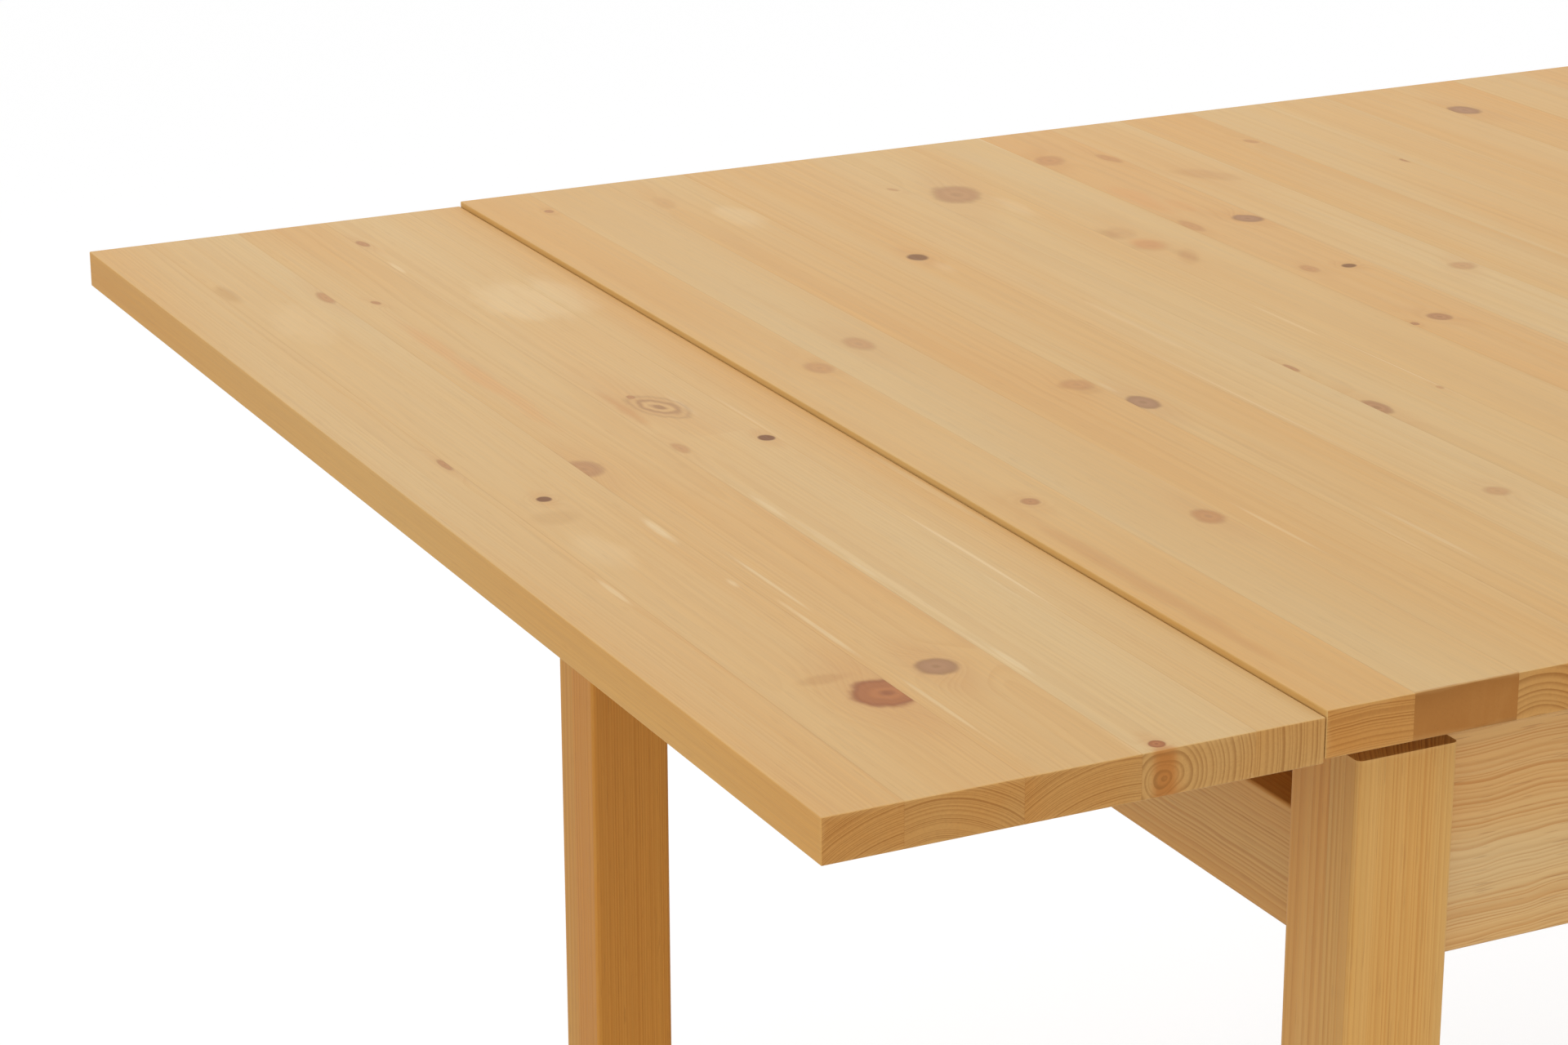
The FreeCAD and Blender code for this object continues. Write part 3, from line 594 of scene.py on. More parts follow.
@recipe(colour=tuple, cover=float, halo=float, bulge=float)
def knot_face(b, place=NO_PLACE, best=NO_KNOT, kind=NO_PLACE):
    """A knot's rim, rings and heart, the halo round it, and the bulge that bends the grain.

    A knot that is ringed above 1 covers the wood only in its rings."""
    u, v, distance = b.parts(best)
    strong, grey, ringed = b.parts(kind)
    ragged = b.noise(place, 2.5, "knot edge")
    edge = b.pushed(distance, ragged, KNOT_RAGGED)
    rim = b.times(b.step(edge, 0.5, 0.85), b.step(edge, 0.85, 1.1, 1.0, 0.0))
    waves = b.plus(b.math("SINE", b.times(edge, 15.0)), 1.0)
    rings = b.times(waves, b.times(b.math("MAXIMUM", ringed, 0.0), 0.30))
    heart = b.step(edge, 0.0, 0.3, 0.35, 0.0)
    all_dark = b.math("MAXIMUM", b.times(ringed, -1.0), 0.0)
    dark = b.times_plus(rim, 0.4, b.plus(rings, heart))
    dark = b.math("ADD", dark, all_dark, clamp=True)
    red = b.mix(dark, "red knot", "red ring")
    ashen = b.mix(dark, "ashen knot", "ashen ring")
    near = b.math("EXPONENT", b.times(b.times(distance, distance), -0.40))
    long_way = b.sums("LENGTH", b.vector(u, b.times(v, 0.42), 0.0))
    in_reach = b.step(distance, 9.0, 10.0, 1.0, 0.0)
    halo = b.times(b.step(long_way, 0.6, 2.0, 1.0, 0.0), in_reach)
    firm = b.times_plus(strong, 0.45, 0.35)
    hollow = b.mix(b.step(ringed, 1.0, 1.3), 1.0, dark, "FLOAT")
    cover = b.times(b.step(edge, firm, 1.12, 1.0, 0.0), strong)
    return (b.mix(grey, red, ashen), b.times(cover, hollow), b.times(halo, strong),
            b.times(b.times(near, strong), 5.5 * MM))


@recipe(so_far=Vector)
def soft_mark(b, place=NO_PLACE, so_far=NO_PLACE, centre=NO_PLACE, size=ONES, strength=NO_PLACE):
    """Adds one soft mark, pale, rosy or deep, to those so far."""
    away = b.sums("SUBTRACT", place, centre)
    away = b.sums("DIVIDE", b.sums("MULTIPLY", away, FLAT), size)
    ragged = b.noise(place, 3.0, "mark edge")
    distance = b.pushed(b.sums("LENGTH", away), ragged, MARK_RAGGED)
    fade = b.step(distance, 0.35, 1.15, 1.0, 0.0)
    added = b.sums("MULTIPLY", strength, b.vector(fade, fade, fade))
    return [b.sums("MAXIMUM", so_far, added)]


@recipe(wear=float)
def edge_wear(b, place=NO_PLACE, low=NO_PLACE, high=ONES, width=0.002):
    """Where a piece's arrises are rubbed: near two faces of its box at once."""
    inner = b.sums("MINIMUM", b.sums("SUBTRACT", place, low),
                   b.sums("SUBTRACT", high, place))
    x, y, z = b.parts(inner)
    least = b.math("MINIMUM", b.math("MAXIMUM", x, y), b.math("MAXIMUM", y, z))
    second = b.math("MINIMUM", least, b.math("MAXIMUM", x, z))
    patch = b.noise(place, 3.0, "wear")
    width = b.times(width, b.step(patch, 0.35, 0.7, 0.35, 1.6))
    return [b.step(b.over(second, width), 0.0, 1.0, 1.0, 0.0)]


@recipe(colour=tuple, roughness=float, height=float)
def pine_finish(b, late_wood=0.0, tone=NO_PLACE, deep=0.0, contrast=1.0, streaks=1.0, fibre=0.5,
                streak=0.5, canal=0.0, end=0.0, to_joint=1.0, wear=0.0,
                knot_colour=(0.2, 0.1, 0.05, 1.0), cover=0.0, halo=0.0, tint=ONES):
    """Colour, roughness and height of lacquered pine from all its masks."""
    honey, rose, pale = b.parts(tone)
    early = b.mix(honey, "early straw", "early honey")
    early = b.mix(rose, early, "early rose")
    late = b.mix(honey, "late straw", "late honey")
    colour = b.mix(b.times(late_wood, contrast), early, late)
    colour = b.mix(b.times(pale, 0.8), colour, "pale wood")
    more = b.times(b.step(streak, 0.55, 0.8, 0.0, 0.30), streaks)
    colour = b.mix(more, colour, "dark streak")
    less = b.times(b.step(streak, 0.2, 0.45, 0.25, 0.0), streaks)
    colour = b.mix(less, colour, "light streak")
    flame = b.times(b.step(streak, 0.30, 0.36, 1.0, 0.0),
                    b.step(to_joint, 1.0 * MM, 4.0 * MM, 0.4, 0.0))
    colour = b.mix(flame, colour, "flame")
    shade = b.step(fibre, 0.2, 0.8, 0.94, 1.05, False)
    colour = b.sums("MULTIPLY", colour, b.vector(shade, shade, shade))
    resin = b.times(canal, b.times(streaks, 0.22))
    colour = b.mix(resin, colour, "resin")
    colour = b.mix(b.times(deep, 0.8), colour, "deep wood")
    dark = b.times_plus(late_wood, -0.20, 1.05)
    ended = b.sums("MULTIPLY", colour, b.sums("MULTIPLY", b.vector(dark, dark, dark),
                                              (0.79, 0.72, 0.68)))
    colour = b.mix(end, colour, ended)
    colour = b.mix(b.times(halo, 0.25), colour, "knot halo")
    colour = b.mix(cover, colour, knot_colour)
    glue = b.step(to_joint, 0.0, 0.40 * MM, 0.16, 0.0)
    colour = b.mix(glue, colour, "glue line")
    colour = b.mix(b.times(wear, 0.14), colour, "worn arris")
    rough = b.step(fibre, 0.2, 0.8, 0.36, 0.46, False)
    rough = b.times_plus(end, 0.14, rough)
    rough = b.times_plus(wear, 0.08, rough)
    height = b.times_plus(late_wood, 0.5, b.times(fibre, 0.35))
    height = b.times_plus(canal, -0.5, height)
    return b.sums("MULTIPLY", colour, tint), rough, height


# Turns in degrees that lay a piece's grain along Y and its thin way along Z, told by the
# axis that the grain follows and the axis that the piece is thin along.
TURNS = {"xz": (0, 0, 90), "xy": (90, 0, 90), "yz": (0, 0, 0), "yx": (0, 90, 0),
         "zy": (-90, 0, 0), "zx": (-90, -90, 0)}


def turn_for(low, high, grain=None):
    """Which turn suits a piece whose grain runs along its longest side, or as told."""
    size = dict(zip("xyz", high - low))
    grain = grain or max(size, key=size.get)
    thin = min((axis for axis in size if grain + axis in TURNS), key=size.get)
    return grain + thin


def blank_material(name):
    made = bpy.data.materials.new(name)
    made.use_nodes = True
    made.node_tree.nodes.clear()
    bench = Bench(made.node_tree)
    shader = bench.node("ShaderNodeBsdfPrincipled")
    bench.node("ShaderNodeOutputMaterial", {"Surface": shader.outputs[0]})
    return made, bench, shader


def laid_along(b, place, angles):
    """The place on a piece, turned so that its grain runs along Y."""
    return b.node("ShaderNodeMapping", {"Vector": place, "Rotation": angles},
                  vector_type="POINT").outputs[0]


def end_grain(b, coordinates, axis):
    """1 on faces that look along the grain, from the axis that it follows."""
    facing = b.parts(coordinates["Normal"])[axis]
    return b.step(b.math("ABSOLUTE", facing), 0.75, 0.95)


def swung(b, rings, swing, tone):
    """A tone's honey, rose and pale, each moved by the rings' slow noise."""
    slow = b.minus(rings["Slow"], 0.5)
    return [b.times_plus(slow, reach, value) for reach, value in zip(swing, tone)]


def surface_from(b, shader, colour, roughness, height, bump):
    """Gives a shader its colour and roughness, and a bump, so deep and strong, of a height."""
    b.feed(shader.inputs["Base Color"], colour)
    b.feed(shader.inputs["Roughness"], roughness)
    depth, strength = bump
    made = b.node("ShaderNodeBump", {"Height": height, "Distance": depth, "Strength": strength})
    b.feed(shader.inputs["Normal"], made.outputs[0])


def pine(name, box, turn, seed, joint=None, stave=None, tone="plain", contrast=0.8,
         ring=2.4 * MM, pith=None, lean=(0.0, 0.0, 0.0), wander=4 * MM, share=0.25,
         tint=(1.0, 1.0, 1.0), streaks=1.0, behind=None, ripple=0.0):
    """Lacquered pine for a piece in a box, its grain laid along Y by a turn.

    pith is where the rings' middle lies from the piece's own, across and in depth."""
    low, high = box
    made, b, shader = blank_material(name)
    coordinates = b.node("ShaderNodeTexCoord").outputs
    place = coordinates["Object"]
    angles = [math.radians(v) for v in turn]
    laid = laid_along(b, place, angles)
    spin = Euler(angles, "XYZ").to_matrix()
    middle = spin @ ((low + high) / 2)
    size = spin @ (high - low)
    if stave is None:
        stave = abs(size.x) * LONE_STAVE
        joint = middle.x - stave / 2
    staves = b.group(stave_plan, place=laid, first_joint=joint, stave_width=stave, seed=seed)
    number = staves["Number"]
    local = b.sums("SUBTRACT", staves["Local"], (0.0, 0.0, middle.z))
    luck = b.parts(staves["Luck"])
    if pith is None:
        spot = b.vector(b.step(luck[0], 0.0, 1.0, *CHANCE_PITH_ACROSS, False), 0.0,
                        b.step(luck[1], 0.0, 1.0, *CHANCE_PITH_DEPTH, False))
    else:
        spot = b.vector(pith[0], 0.0, pith[1])
    found = b.group(knot_scatter, local=local, number=number, seed=seed, share=share,
                    radius=CHANCE_KNOT, stave_width=min(stave, CHANCE_SPREAD))
    face = b.group(knot_face, place=laid, best=found["Best"], kind=found["Best Kind"])
    rings = b.group(growth_rings, local=local, pith=spot, lean=lean, ring_width=ring,
                    wander=wander, ripple=ripple, bulge=face["Bulge"], seed=seed)
    way = spin.transposed() @ Vector((0.0, 1.0, 0.0))
    end = end_grain(b, coordinates, max(range(3), key=lambda n: abs(way[n])))
    honey, rose, pale = TONES[tone]
    if behind:
        second = b.math("GREATER_THAN", number, 0.5)
        honey, rose, pale = (b.mix(second, one, other, "FLOAT")
                             for one, other in zip(TONES[tone], TONES[behind]))
    mixed = b.vector(*swung(b, rings, PINE_SWING, (honey, rose, pale)))
    finish_pine(b, shader, place, box, local, rings, face, PINE_GLOSS, tone=mixed,
                contrast=b.mix(end, contrast, END_CONTRAST, "FLOAT"), streaks=streaks, end=end,
                to_joint=staves["To Joint"], tint=tint)
    return made


def dress(node, material):
    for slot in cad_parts[node].material_slots:
        slot.material = material


def point_value(b, name, sort):
    return b.shape("InputNamedAttribute", {"Name": name}, data_type=sort)


def point_turn(b):
    return b.node("FunctionNodeEulerToRotation", {
        "Euler": point_value(b, "turn", "FLOAT_VECTOR")}).outputs[0]


def moved(b, shape, offset):
    return b.shape("Transform", {"Geometry": shape, "Translation": offset})


def joined(b, *shapes):
    made = b.node("GeometryNodeJoinGeometry")
    for shape in shapes:
        b.feed(made.inputs[0], shape)
    return made.outputs[0]


def planted(b, shape, points, stretch=None):
    """Puts a shape on each point, turned as the point says and drawn out along its axis."""
    made = b.node("GeometryNodeInstanceOnPoints", {
        "Points": points, "Instance": shape, "Rotation": point_turn(b)})
    if stretch is not None:
        b.feed(made.inputs["Scale"], b.vector(1.0, 1.0, stretch))
    return made.outputs[0]


@shape_recipe
def glued_board(b, _, low=NO_PLACE, high=Vector((1.0, 1.0, 0.02)), first_joint=0.0,
                stave_width=LEAF_STAVE, joints=2, lengths=10, groove_half=GROOVE_HALF,
                groove_depth=GROOVE_DEPTH):
    """A board glued up from staves: a closed shell with a shallow groove along each joint."""
    low, high = b.parts(low), b.parts(high)
    columns = b.times(joints, GROOVE_LINES)
    rows = b.plus(lengths, 1.0)
    grid = b.shape("MeshGrid", {"Size X": 1.0, "Size Y": 1.0, "Vertices X": columns,
                                "Vertices Y": rows})
    x, y, z = b.parts(b.shape("InputPosition"))
    line = b.math("ROUND", b.times(b.plus(x, 0.5), b.minus(columns, 1.0)))
    joint = b.math("FLOOR", b.over(b.plus(line, 0.5), GROOVE_LINES))
    lip = b.minus(b.minus(line, b.times(joint, GROOVE_LINES)), 1.0)
    across = b.times_plus(joint, stave_width, first_joint)
    across = b.times_plus(lip, groove_half, across)
    across = b.math("MINIMUM", b.math("MAXIMUM", across, low[0]), high[0])
    along = b.times_plus(b.plus(y, 0.5), b.minus(high[1], low[1]), low[1])
    face = b.shape("SetPosition", {"Geometry": grid,
                                   "Position": b.vector(across, along, high[2])})
    face = b.shape("MergeByDistance", {"Geometry": face, "Distance": WELD_REACH})
    turned = b.shape("FlipFaces", {"Mesh": face})
    drop = b.vector(0.0, 0.0, b.minus(low[2], high[2]))
    walls = b.shape("ExtrudeMesh", {"Mesh": turned, "Offset": drop, "Offset Scale": 1.0,
                                    "Individual": False}, mode="FACES")
    shell = b.shape("MergeByDistance", {"Geometry": joined(b, face, walls),
                                        "Distance": WELD_REACH})
    x, y, z = b.parts(b.shape("InputPosition"))
    steps = b.over(b.minus(x, first_joint), stave_width)
    off_joint = b.times(b.math("ABSOLUTE", b.minus(steps, b.math("ROUND", steps))),
                        stave_width)
    on_joint = b.math("LESS_THAN", off_joint, b.times(groove_half, 0.5))
    inside = b.times(b.math("GREATER_THAN", x, b.plus(low[0], groove_half)),
                     b.math("LESS_THAN", x, b.minus(high[0], groove_half)))
    middle = b.times(b.plus(low[2], high[2]), 0.5)
    inward = b.times(b.math("SIGN", b.minus(middle, z)), groove_depth)
    sunk = b.times(inward, b.times(on_joint, inside))
    return b.shape("SetPosition", {"Geometry": shell, "Offset": b.vector(0.0, 0.0, sunk)})


def placed(name, data):
    made = bpy.data.objects.new(name, data)
    bpy.context.scene.collection.objects.link(made)
    return made


def settle(piece):
    """Turns a piece and its modifiers into one plain mesh."""
    seen = piece.evaluated_get(bpy.context.evaluated_depsgraph_get())
    plain = bpy.data.meshes.new_from_object(seen)
    piece.modifiers.clear()
    piece.data = plain


def grow(name, tree, values, rounding=0.0, carrier=None):
    """Makes a piece by a Geometry Nodes tree, with rounded arrises, as one plain mesh."""
    piece = placed(name, carrier or bpy.data.meshes.new(name))
    nodes = piece.modifiers.new("shape", "NODES")
    nodes.node_group = tree
    for item in tree.interface.items_tree:
        if item.in_out == "INPUT" and item.name in values:
            nodes[item.identifier] = values[item.name]
    if rounding:
        bevel = piece.modifiers.new("arris", "BEVEL")
        bevel.width = rounding
        bevel.segments = ARRIS_STEPS
        bevel.limit_method = "ANGLE"
        bevel.angle_limit = ARRIS_ANGLE
        bevel.use_clamp_overlap = False
    settle(piece)
    return piece


def chance_knots(seed, joint, stave, box, share):
    """Knots for a board that nobody saw, in mm: a few to each stave, with a fixed seed."""
    rng = np.random.default_rng(seed)
    low, high = box
    found = []
    first = math.floor((low.x - joint) / stave)
    last = math.floor((high.x - joint) / stave)
    for number in range(first, last + 1):
        y = low.y
        while y < high.y:
            y += rng.uniform(*KNOT_GAPS) * MM / share
            x = joint + (number + rng.uniform(*KNOT_SIDES)) * stave
            wide = rng.uniform(*KNOT_WIDTHS)
            look = CHANCE_LOOKS[rng.integers(len(CHANCE_LOOKS))]
            if look == "pin":
                wide = min(wide, PIN_WIDEST)
            long = wide * rng.uniform(*KNOT_STRETCHES)
            found.append((x / MM, y / MM, wide, long, rng.uniform(*KNOT_TURNS), look))
    return tuple(found)


def nearest_two(y, spots):
    """For each place along a stave, the two spots that reach it best, as ends a and b."""
    if not spots:
        return
    away = np.array([np.abs(y - s[1] * MM) / (s[3] + SPOT_MARGIN) for s in spots])
    order = np.argsort(away, axis=0)
    for rank, end in enumerate("ab"[:len(spots)]):
        yield end, [spots[n] for n in order[rank]]


def mark_staves(piece, seed, joint, stave, tones, knots, marks, hearts, ring):
    """Writes on each face what its stave is like and which knots and marks lie nearest."""
    mesh = piece.data
    count = len(mesh.polygons)
    centre = np.empty(count * 3)
    mesh.polygons.foreach_get("center", centre)
    centre = centre.reshape(count, 3)
    number = np.floor((centre[:, 0] - joint) / stave).astype(int)
    rng = np.random.default_rng(seed)
    told = {key: np.zeros((count, 3)) for key in (
        "stave", "heart", "tone", "knot_a", "size_a", "kind_a", "knot_b", "size_b", "kind_b",
        "mark_a", "reach_a", "look_a", "mark_b", "reach_b", "look_b")}
    for end in "ab":
        told["size_" + end][:] = 1.0
        told["reach_" + end][:] = 1.0
        told["knot_" + end][:, 0] = OUT_OF_REACH
        told["mark_" + end][:, 0] = OUT_OF_REACH
    for own in range(number.min(), number.max() + 1):
        here = number == own
        y = centre[here, 1]
        shift, depth, side = (rng.uniform(*span) for span in (
            STAVE_SHIFTS, HEART_DEPTHS, HEART_SIDES))
        told["stave"][here] = (joint + (own + 0.5) * stave, shift, own + seed)
        side, depth, width = hearts.get(own, (side, -depth, rng.uniform(*RING_SHARES)))
        told["heart"][here] = (side * MM, width * ring, depth * MM)
        told["tone"][here] = TONES[tones[(own - FIRST_STAVE) % len(tones)]]
        mine = [k for k in knots if math.floor((k[0] * MM - joint) / stave) == own]
        for end, chosen in nearest_two(y, mine):
            told["knot_" + end][here] = [(k[0] * MM, k[1] * MM, math.radians(k[4]))
                                         for k in chosen]
            told["size_" + end][here] = [(k[2] * MM, k[3] * MM, 1.0) for k in chosen]
            told["kind_" + end][here] = [KNOTS[k[5]] for k in chosen]
        mine = [m for m in marks if math.floor((m[0] * MM - joint) / stave) == own]
        for end, chosen in nearest_two(y, mine):
            told["mark_" + end][here] = [(m[0] * MM, m[1] * MM, 0.0) for m in chosen]
            told["reach_" + end][here] = [(m[2] * MM, m[3] * MM, 1.0) for m in chosen]
            told["look_" + end][here] = [m[4:7] for m in chosen]
    for key, values in told.items():
        layer = mesh.attributes.new(key, "FLOAT_VECTOR", "FACE")
        layer.data.foreach_set("vector", values.astype(np.float32).ravel())


def glued_pine(name, box, stave_width, tint, edge_tint):
    """Lacquered pine for a glued board whose faces carry their staves, knots and marks."""
    low, high = box
    surface = high.z
    made, b, shader = blank_material(name)
    coordinates = b.node("ShaderNodeTexCoord").outputs
    place = coordinates["Object"]

    def told(key):
        return b.node("ShaderNodeAttribute", attribute_name=key).outputs["Vector"]

    stave = b.parts(told("stave"))
    heart = b.parts(told("heart"))
    local = b.sums("ADD", b.sums("SUBTRACT", place, b.vector(stave[0], 0.0, (low.z + high.z) / 2)),
                   b.vector(0.0, stave[1], 0.0))
    best, kind = NO_KNOT, NO_PLACE
    for end in "ab":
        spot = b.parts(told("knot_" + end))
        lean = b.chance(told("knot_" + end))
        lean = b.sums("MULTIPLY", b.sums("SUBTRACT", lean, (0.5, 0.5, 0.5)), KNOT_LEAN)
        picked = b.group(knot_pick, place=place, best=best, best_kind=kind, turn=spot[2],
                         lean=lean, centre=b.vector(spot[0], spot[1], surface),
                         size=told("size_" + end), kind=told("kind_" + end))
        best, kind = picked["Best"], picked["Best Kind"]
    face = b.group(knot_face, place=place, best=best, kind=kind)
    rings = b.group(growth_rings, local=local, pith=b.vector(heart[0], 0.0, heart[2]),
                    ring_width=heart[1], wander=BOARD_WANDER, bulge=face["Bulge"], seed=stave[2])
    end = end_grain(b, coordinates, 1)
    marked = (0.0, 0.0, 0.0)
    for side in "ab":
        spot = b.parts(told("mark_" + side))
        marked = b.group(soft_mark, place=place, so_far=marked,
                         centre=b.vector(spot[0], spot[1], surface), size=told("reach_" + side),
                         strength=told("look_" + side))["So Far"]
    mark = b.parts(marked)
    honey, rose, pale = swung(b, rings, BOARD_SWING, b.parts(told("tone")))
    mixed = b.vector(honey, b.math("MAXIMUM", rose, mark[1]), b.math("MAXIMUM", pale, mark[0]))
    half = b.minus(b.parts(place)[0], stave[0])
    to_joint = b.minus(stave_width / 2, b.math("ABSOLUTE", half))
    # Painted sheen and light: faces looking up take the board's tint, a painted sheen of the
    # lacquer, and the end and side faces take tints painted for how the light falls on them.
    level = b.step(b.math("ABSOLUTE", b.parts(coordinates["Normal"])[2]), 0.4, 0.9)
    tint = b.mix(level, b.mix(end, edge_tint, SIDE_TINT, "VECTOR"), tint, "VECTOR")
    finish_pine(b, shader, place, box, local, rings, face, TOP_GLOSS, tone=mixed,
                contrast=b.mix(end, BOARD_CONTRAST, BOARD_END_CONTRAST, "FLOAT"), deep=mark[2],
                streaks=BOARD_STREAKS, end=end, to_joint=to_joint, tint=tint)
    return made


def finish_pine(b, shader, place, box, local, rings, face, gloss, **own):
    """Joins what both kinds of pine share to a material's own masks, and feeds its shader."""
    fibre = b.group(wood_fibre, local=local)
    worn = b.group(edge_wear, place=place, low=box[0], high=box[1], width=WEAR_WIDTH)
    finish = b.group(pine_finish, late_wood=rings["Late Wood"], fibre=fibre["Fibre"],
                     streak=fibre["Streak"], canal=fibre["Canal"], wear=worn["Wear"],
                     knot_colour=face["Colour"], cover=face["Cover"], halo=face["Halo"], **own)
    shader.inputs["Specular IOR Level"].default_value = gloss
    surface_from(b, shader, finish["Colour"], finish["Roughness"], finish["Height"],
                 BUMPS["pine"])


# The tint paints the lacquer's sheen on the faces looking up, and the edge light tint paints light
# on the board's side faces.
def lay_board(node, body, joint, stave, seed, tones, knots, marks, hearts, ring, tint,
              edge_tint):
    """A table top or leaf: shape, then what each stave is like, then its lacquered pine."""
    low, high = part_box(node)
    before = math.floor((low.x - joint) / stave)
    after = math.ceil((high.x - joint) / stave)
    material = glued_pine(node + " pine", (low, high), stave, tint, edge_tint)
    piece = grow(node + "_glued", glued_board, {
        "Low": low, "High": high, "First Joint": joint + before * stave, "Stave Width": stave,
        "Joints": after - before + 1, "Lengths": round((high.y - low.y) / CELL_LENGTH),
        "Groove Half": GROOVE_HALF, "Groove Depth": GROOVE_DEPTH, "Finish": material},
        ARRIS_RADIUS)
    mark_staves(piece, seed, joint, stave, tones, knots, marks, hearts, ring)
    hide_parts(node)
    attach(piece, body)


def unseen(knot):
    """True for a knot of the main top that lies beyond the photo's right edge."""
    return knot[0] > PHOTO_CUT[0] + PHOTO_CUT_SLANT * (knot[1] - PHOTO_CUT[1])


def lay_tops():
    hidden = chance_knots(SEEDS["top knots"], TOP_JOINT, TOP_STAVE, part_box("main_top"), 1.0)
    lay_board("main_top", "main_top", TOP_JOINT, TOP_STAVE, SEEDS["main top"], TOP_TONES,
              TOP_KNOTS + tuple(filter(unseen, hidden)), TOP_MARKS, TOP_HEARTS, TOP_RING,
              TOP_TINT, EDGE_TINT)
    lay_board("left_leaf", "left_leaf", LEAF_JOINT, LEAF_STAVE, SEEDS["left leaf"], LEAF_TONES,
              LEAF_KNOTS, LEAF_MARKS, LEAF_HEARTS, LEFT_LEAF_RING, LEAF_TINT, SIDE_TINT)
    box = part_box("right_leaf")
    joint = box[0].x + RIGHT_LEAF_FIRST
    knots = chance_knots(SEEDS["leaf knots"], joint, LEAF_STAVE, box, LEAF_KNOT_SHARE)
    lay_board("right_leaf", "right_leaf", joint, LEAF_STAVE, SEEDS["right leaf"],
              RIGHT_LEAF_TONES, knots, (), {}, RIGHT_LEAF_RING, LEAF_TINT, SIDE_TINT)
    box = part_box("centre_board")
    dress("centre_board", pine(
        "centre board pine", box, TURNS["yz"], SEEDS["centre board"],
        box[0].x + CENTRE_BOARD_FIRST, LEAF_STAVE, **CENTRE_BOARD_PINE))


def dress_pine(name, turn, seed, **growth):
    dress(name, pine(name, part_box(name), TURNS[turn], seed, **growth))


def dress_legs():
    for end in ("left", "right"):
        for side in ("front", "back"):
            name = f"leg_{end}_{side}"
            low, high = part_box(name)
            front = side == "front"
            joint = (low.y + LEG_LAMINATION if front else high.y - LEG_LAMINATION) - LEG_STAVE
            # The far back leg, which stands in the table's shade, gets a browner tone and a darker
            # tint: painted shade.
            dark = name == "leg_left_back"
            dress_pine(name, "zx", SEEDS["legs"] + LEG_SEED_STEP * low.x, joint=joint,
                       stave=LEG_STAVE, tone="brown" if dark else "amber",
                       behind="brown" if front else None,
                       tint=DARK_LEG_TINT if dark else LEG_TINT, **LEG_PINE)


def dress_aprons():
    for end in ("left", "right"):
        dress_pine(f"end_apron_{end}", "yx", SEEDS["end aprons"], **END_APRON_PINE)
    across, depth = SIDE_APRON_PITH
    for side, way in (("front", -1), ("back", 1)):
        dress_pine(f"side_apron_{side}", "xy", SEEDS["side aprons"],
                   pith=(across, way * depth), **SIDE_APRON_PINE)


def dress_runners():
    """The bearers, whose grain follows their slope, and the small parts under the top."""
    for end, slant in (("left", -BEARER_SLOPE), ("right", BEARER_SLOPE)):
        for side in ("front", "back"):
            # The bearers' tint paints light on them where they stand in shade.
            dress_pine(f"{end}_bearer_{side}", "xy", SEEDS["bearers"],
                       lean=(slant, 0.0, 0.0), **BEARER_PINE)
    plain = ["centre_rail", "left_cross_rail", "right_cross_rail", "left_stop_blocks",
             "right_stop_blocks", "left_end_guides", "right_end_guides", "left_guide_strips",
             "right_guide_strips"]
    plain += [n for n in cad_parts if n.startswith("corner_block_") and "screw" not in n]
    for place, name in enumerate(plain):
        turn = turn_for(*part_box(name), "z" if "end_guides" in name else None)
        dress_pine(name, turn, SEEDS["small parts"] + place, **SMALL_PINE)


def beech(name, turn):
    """Turned beech, pinkish with short dark flecks along its grain."""
    made, b, shader = blank_material(name)
    place = b.node("ShaderNodeTexCoord").outputs["Object"]
    laid = laid_along(b, place, [math.radians(v) for v in turn])
    fibre = b.group(wood_fibre, local=laid)
    fleck = b.step(b.noise(laid, 0.0, "beech fleck"), 0.60, 0.68)
    colour = b.mix(fibre["Streak"], "beech dark", "beech light")
    colour = b.mix(b.times(fleck, 0.45), colour, "beech fleck")
    surface_from(b, shader, colour, b.step(fibre["Fibre"], 0.2, 0.8, 0.48, 0.60, False),
                 fibre["Fibre"], BUMPS["beech"])
    return made


def plated(name, light):
    """Zinc-plated steel: bright, with a faint cloud of another tinge and fine scratches."""
    made, b, shader = blank_material(name)
    place = b.node("ShaderNodeTexCoord").outputs["Object"]
    cloud = b.noise(place, 2.0, "zinc cloud")
    grit = b.noise(place, 3.0, "zinc grit")
    scratch = b.noise(place, 2.0, "zinc scratch")
    colour = b.mix(b.step(cloud, 0.35, 0.65), light + " dark", light)
    colour = b.mix(b.step(cloud, 0.55, 0.75, 0.0, 0.5), colour, light + " tinge")
    colour = b.mix(b.step(scratch, 0.62, 0.75, 0.0, 0.35), colour, light)
    shader.inputs["Metallic"].default_value = 1.0
    surface_from(b, shader, colour, b.step(grit, 0.3, 0.7, 0.26, 0.46, False),
                 b.plus(grit, scratch), BUMPS["zinc"])
    return made


def glide_nylon():
    """Hard nylon under the feet, scuffed in patches and speckled with darker grit."""
    made, b, shader = blank_material("glide nylon")
    place = b.node("ShaderNodeTexCoord").outputs["Object"]
    grit = b.noise(place, 3.0, "nylon grit")
    scuff = b.noise(place, 3.0, "nylon scuff")
    colour = b.mix(b.step(grit, 0.35, 0.65), "nylon dark", "nylon light")
    colour = b.mix(b.step(scuff, 0.52, 0.70, 0.0, 0.5), colour, "nylon scuff")
    surface_from(b, shader, colour, b.step(scuff, 0.4, 0.7, 0.45, 0.7, False), grit,
                 BUMPS["nylon"])
    return made


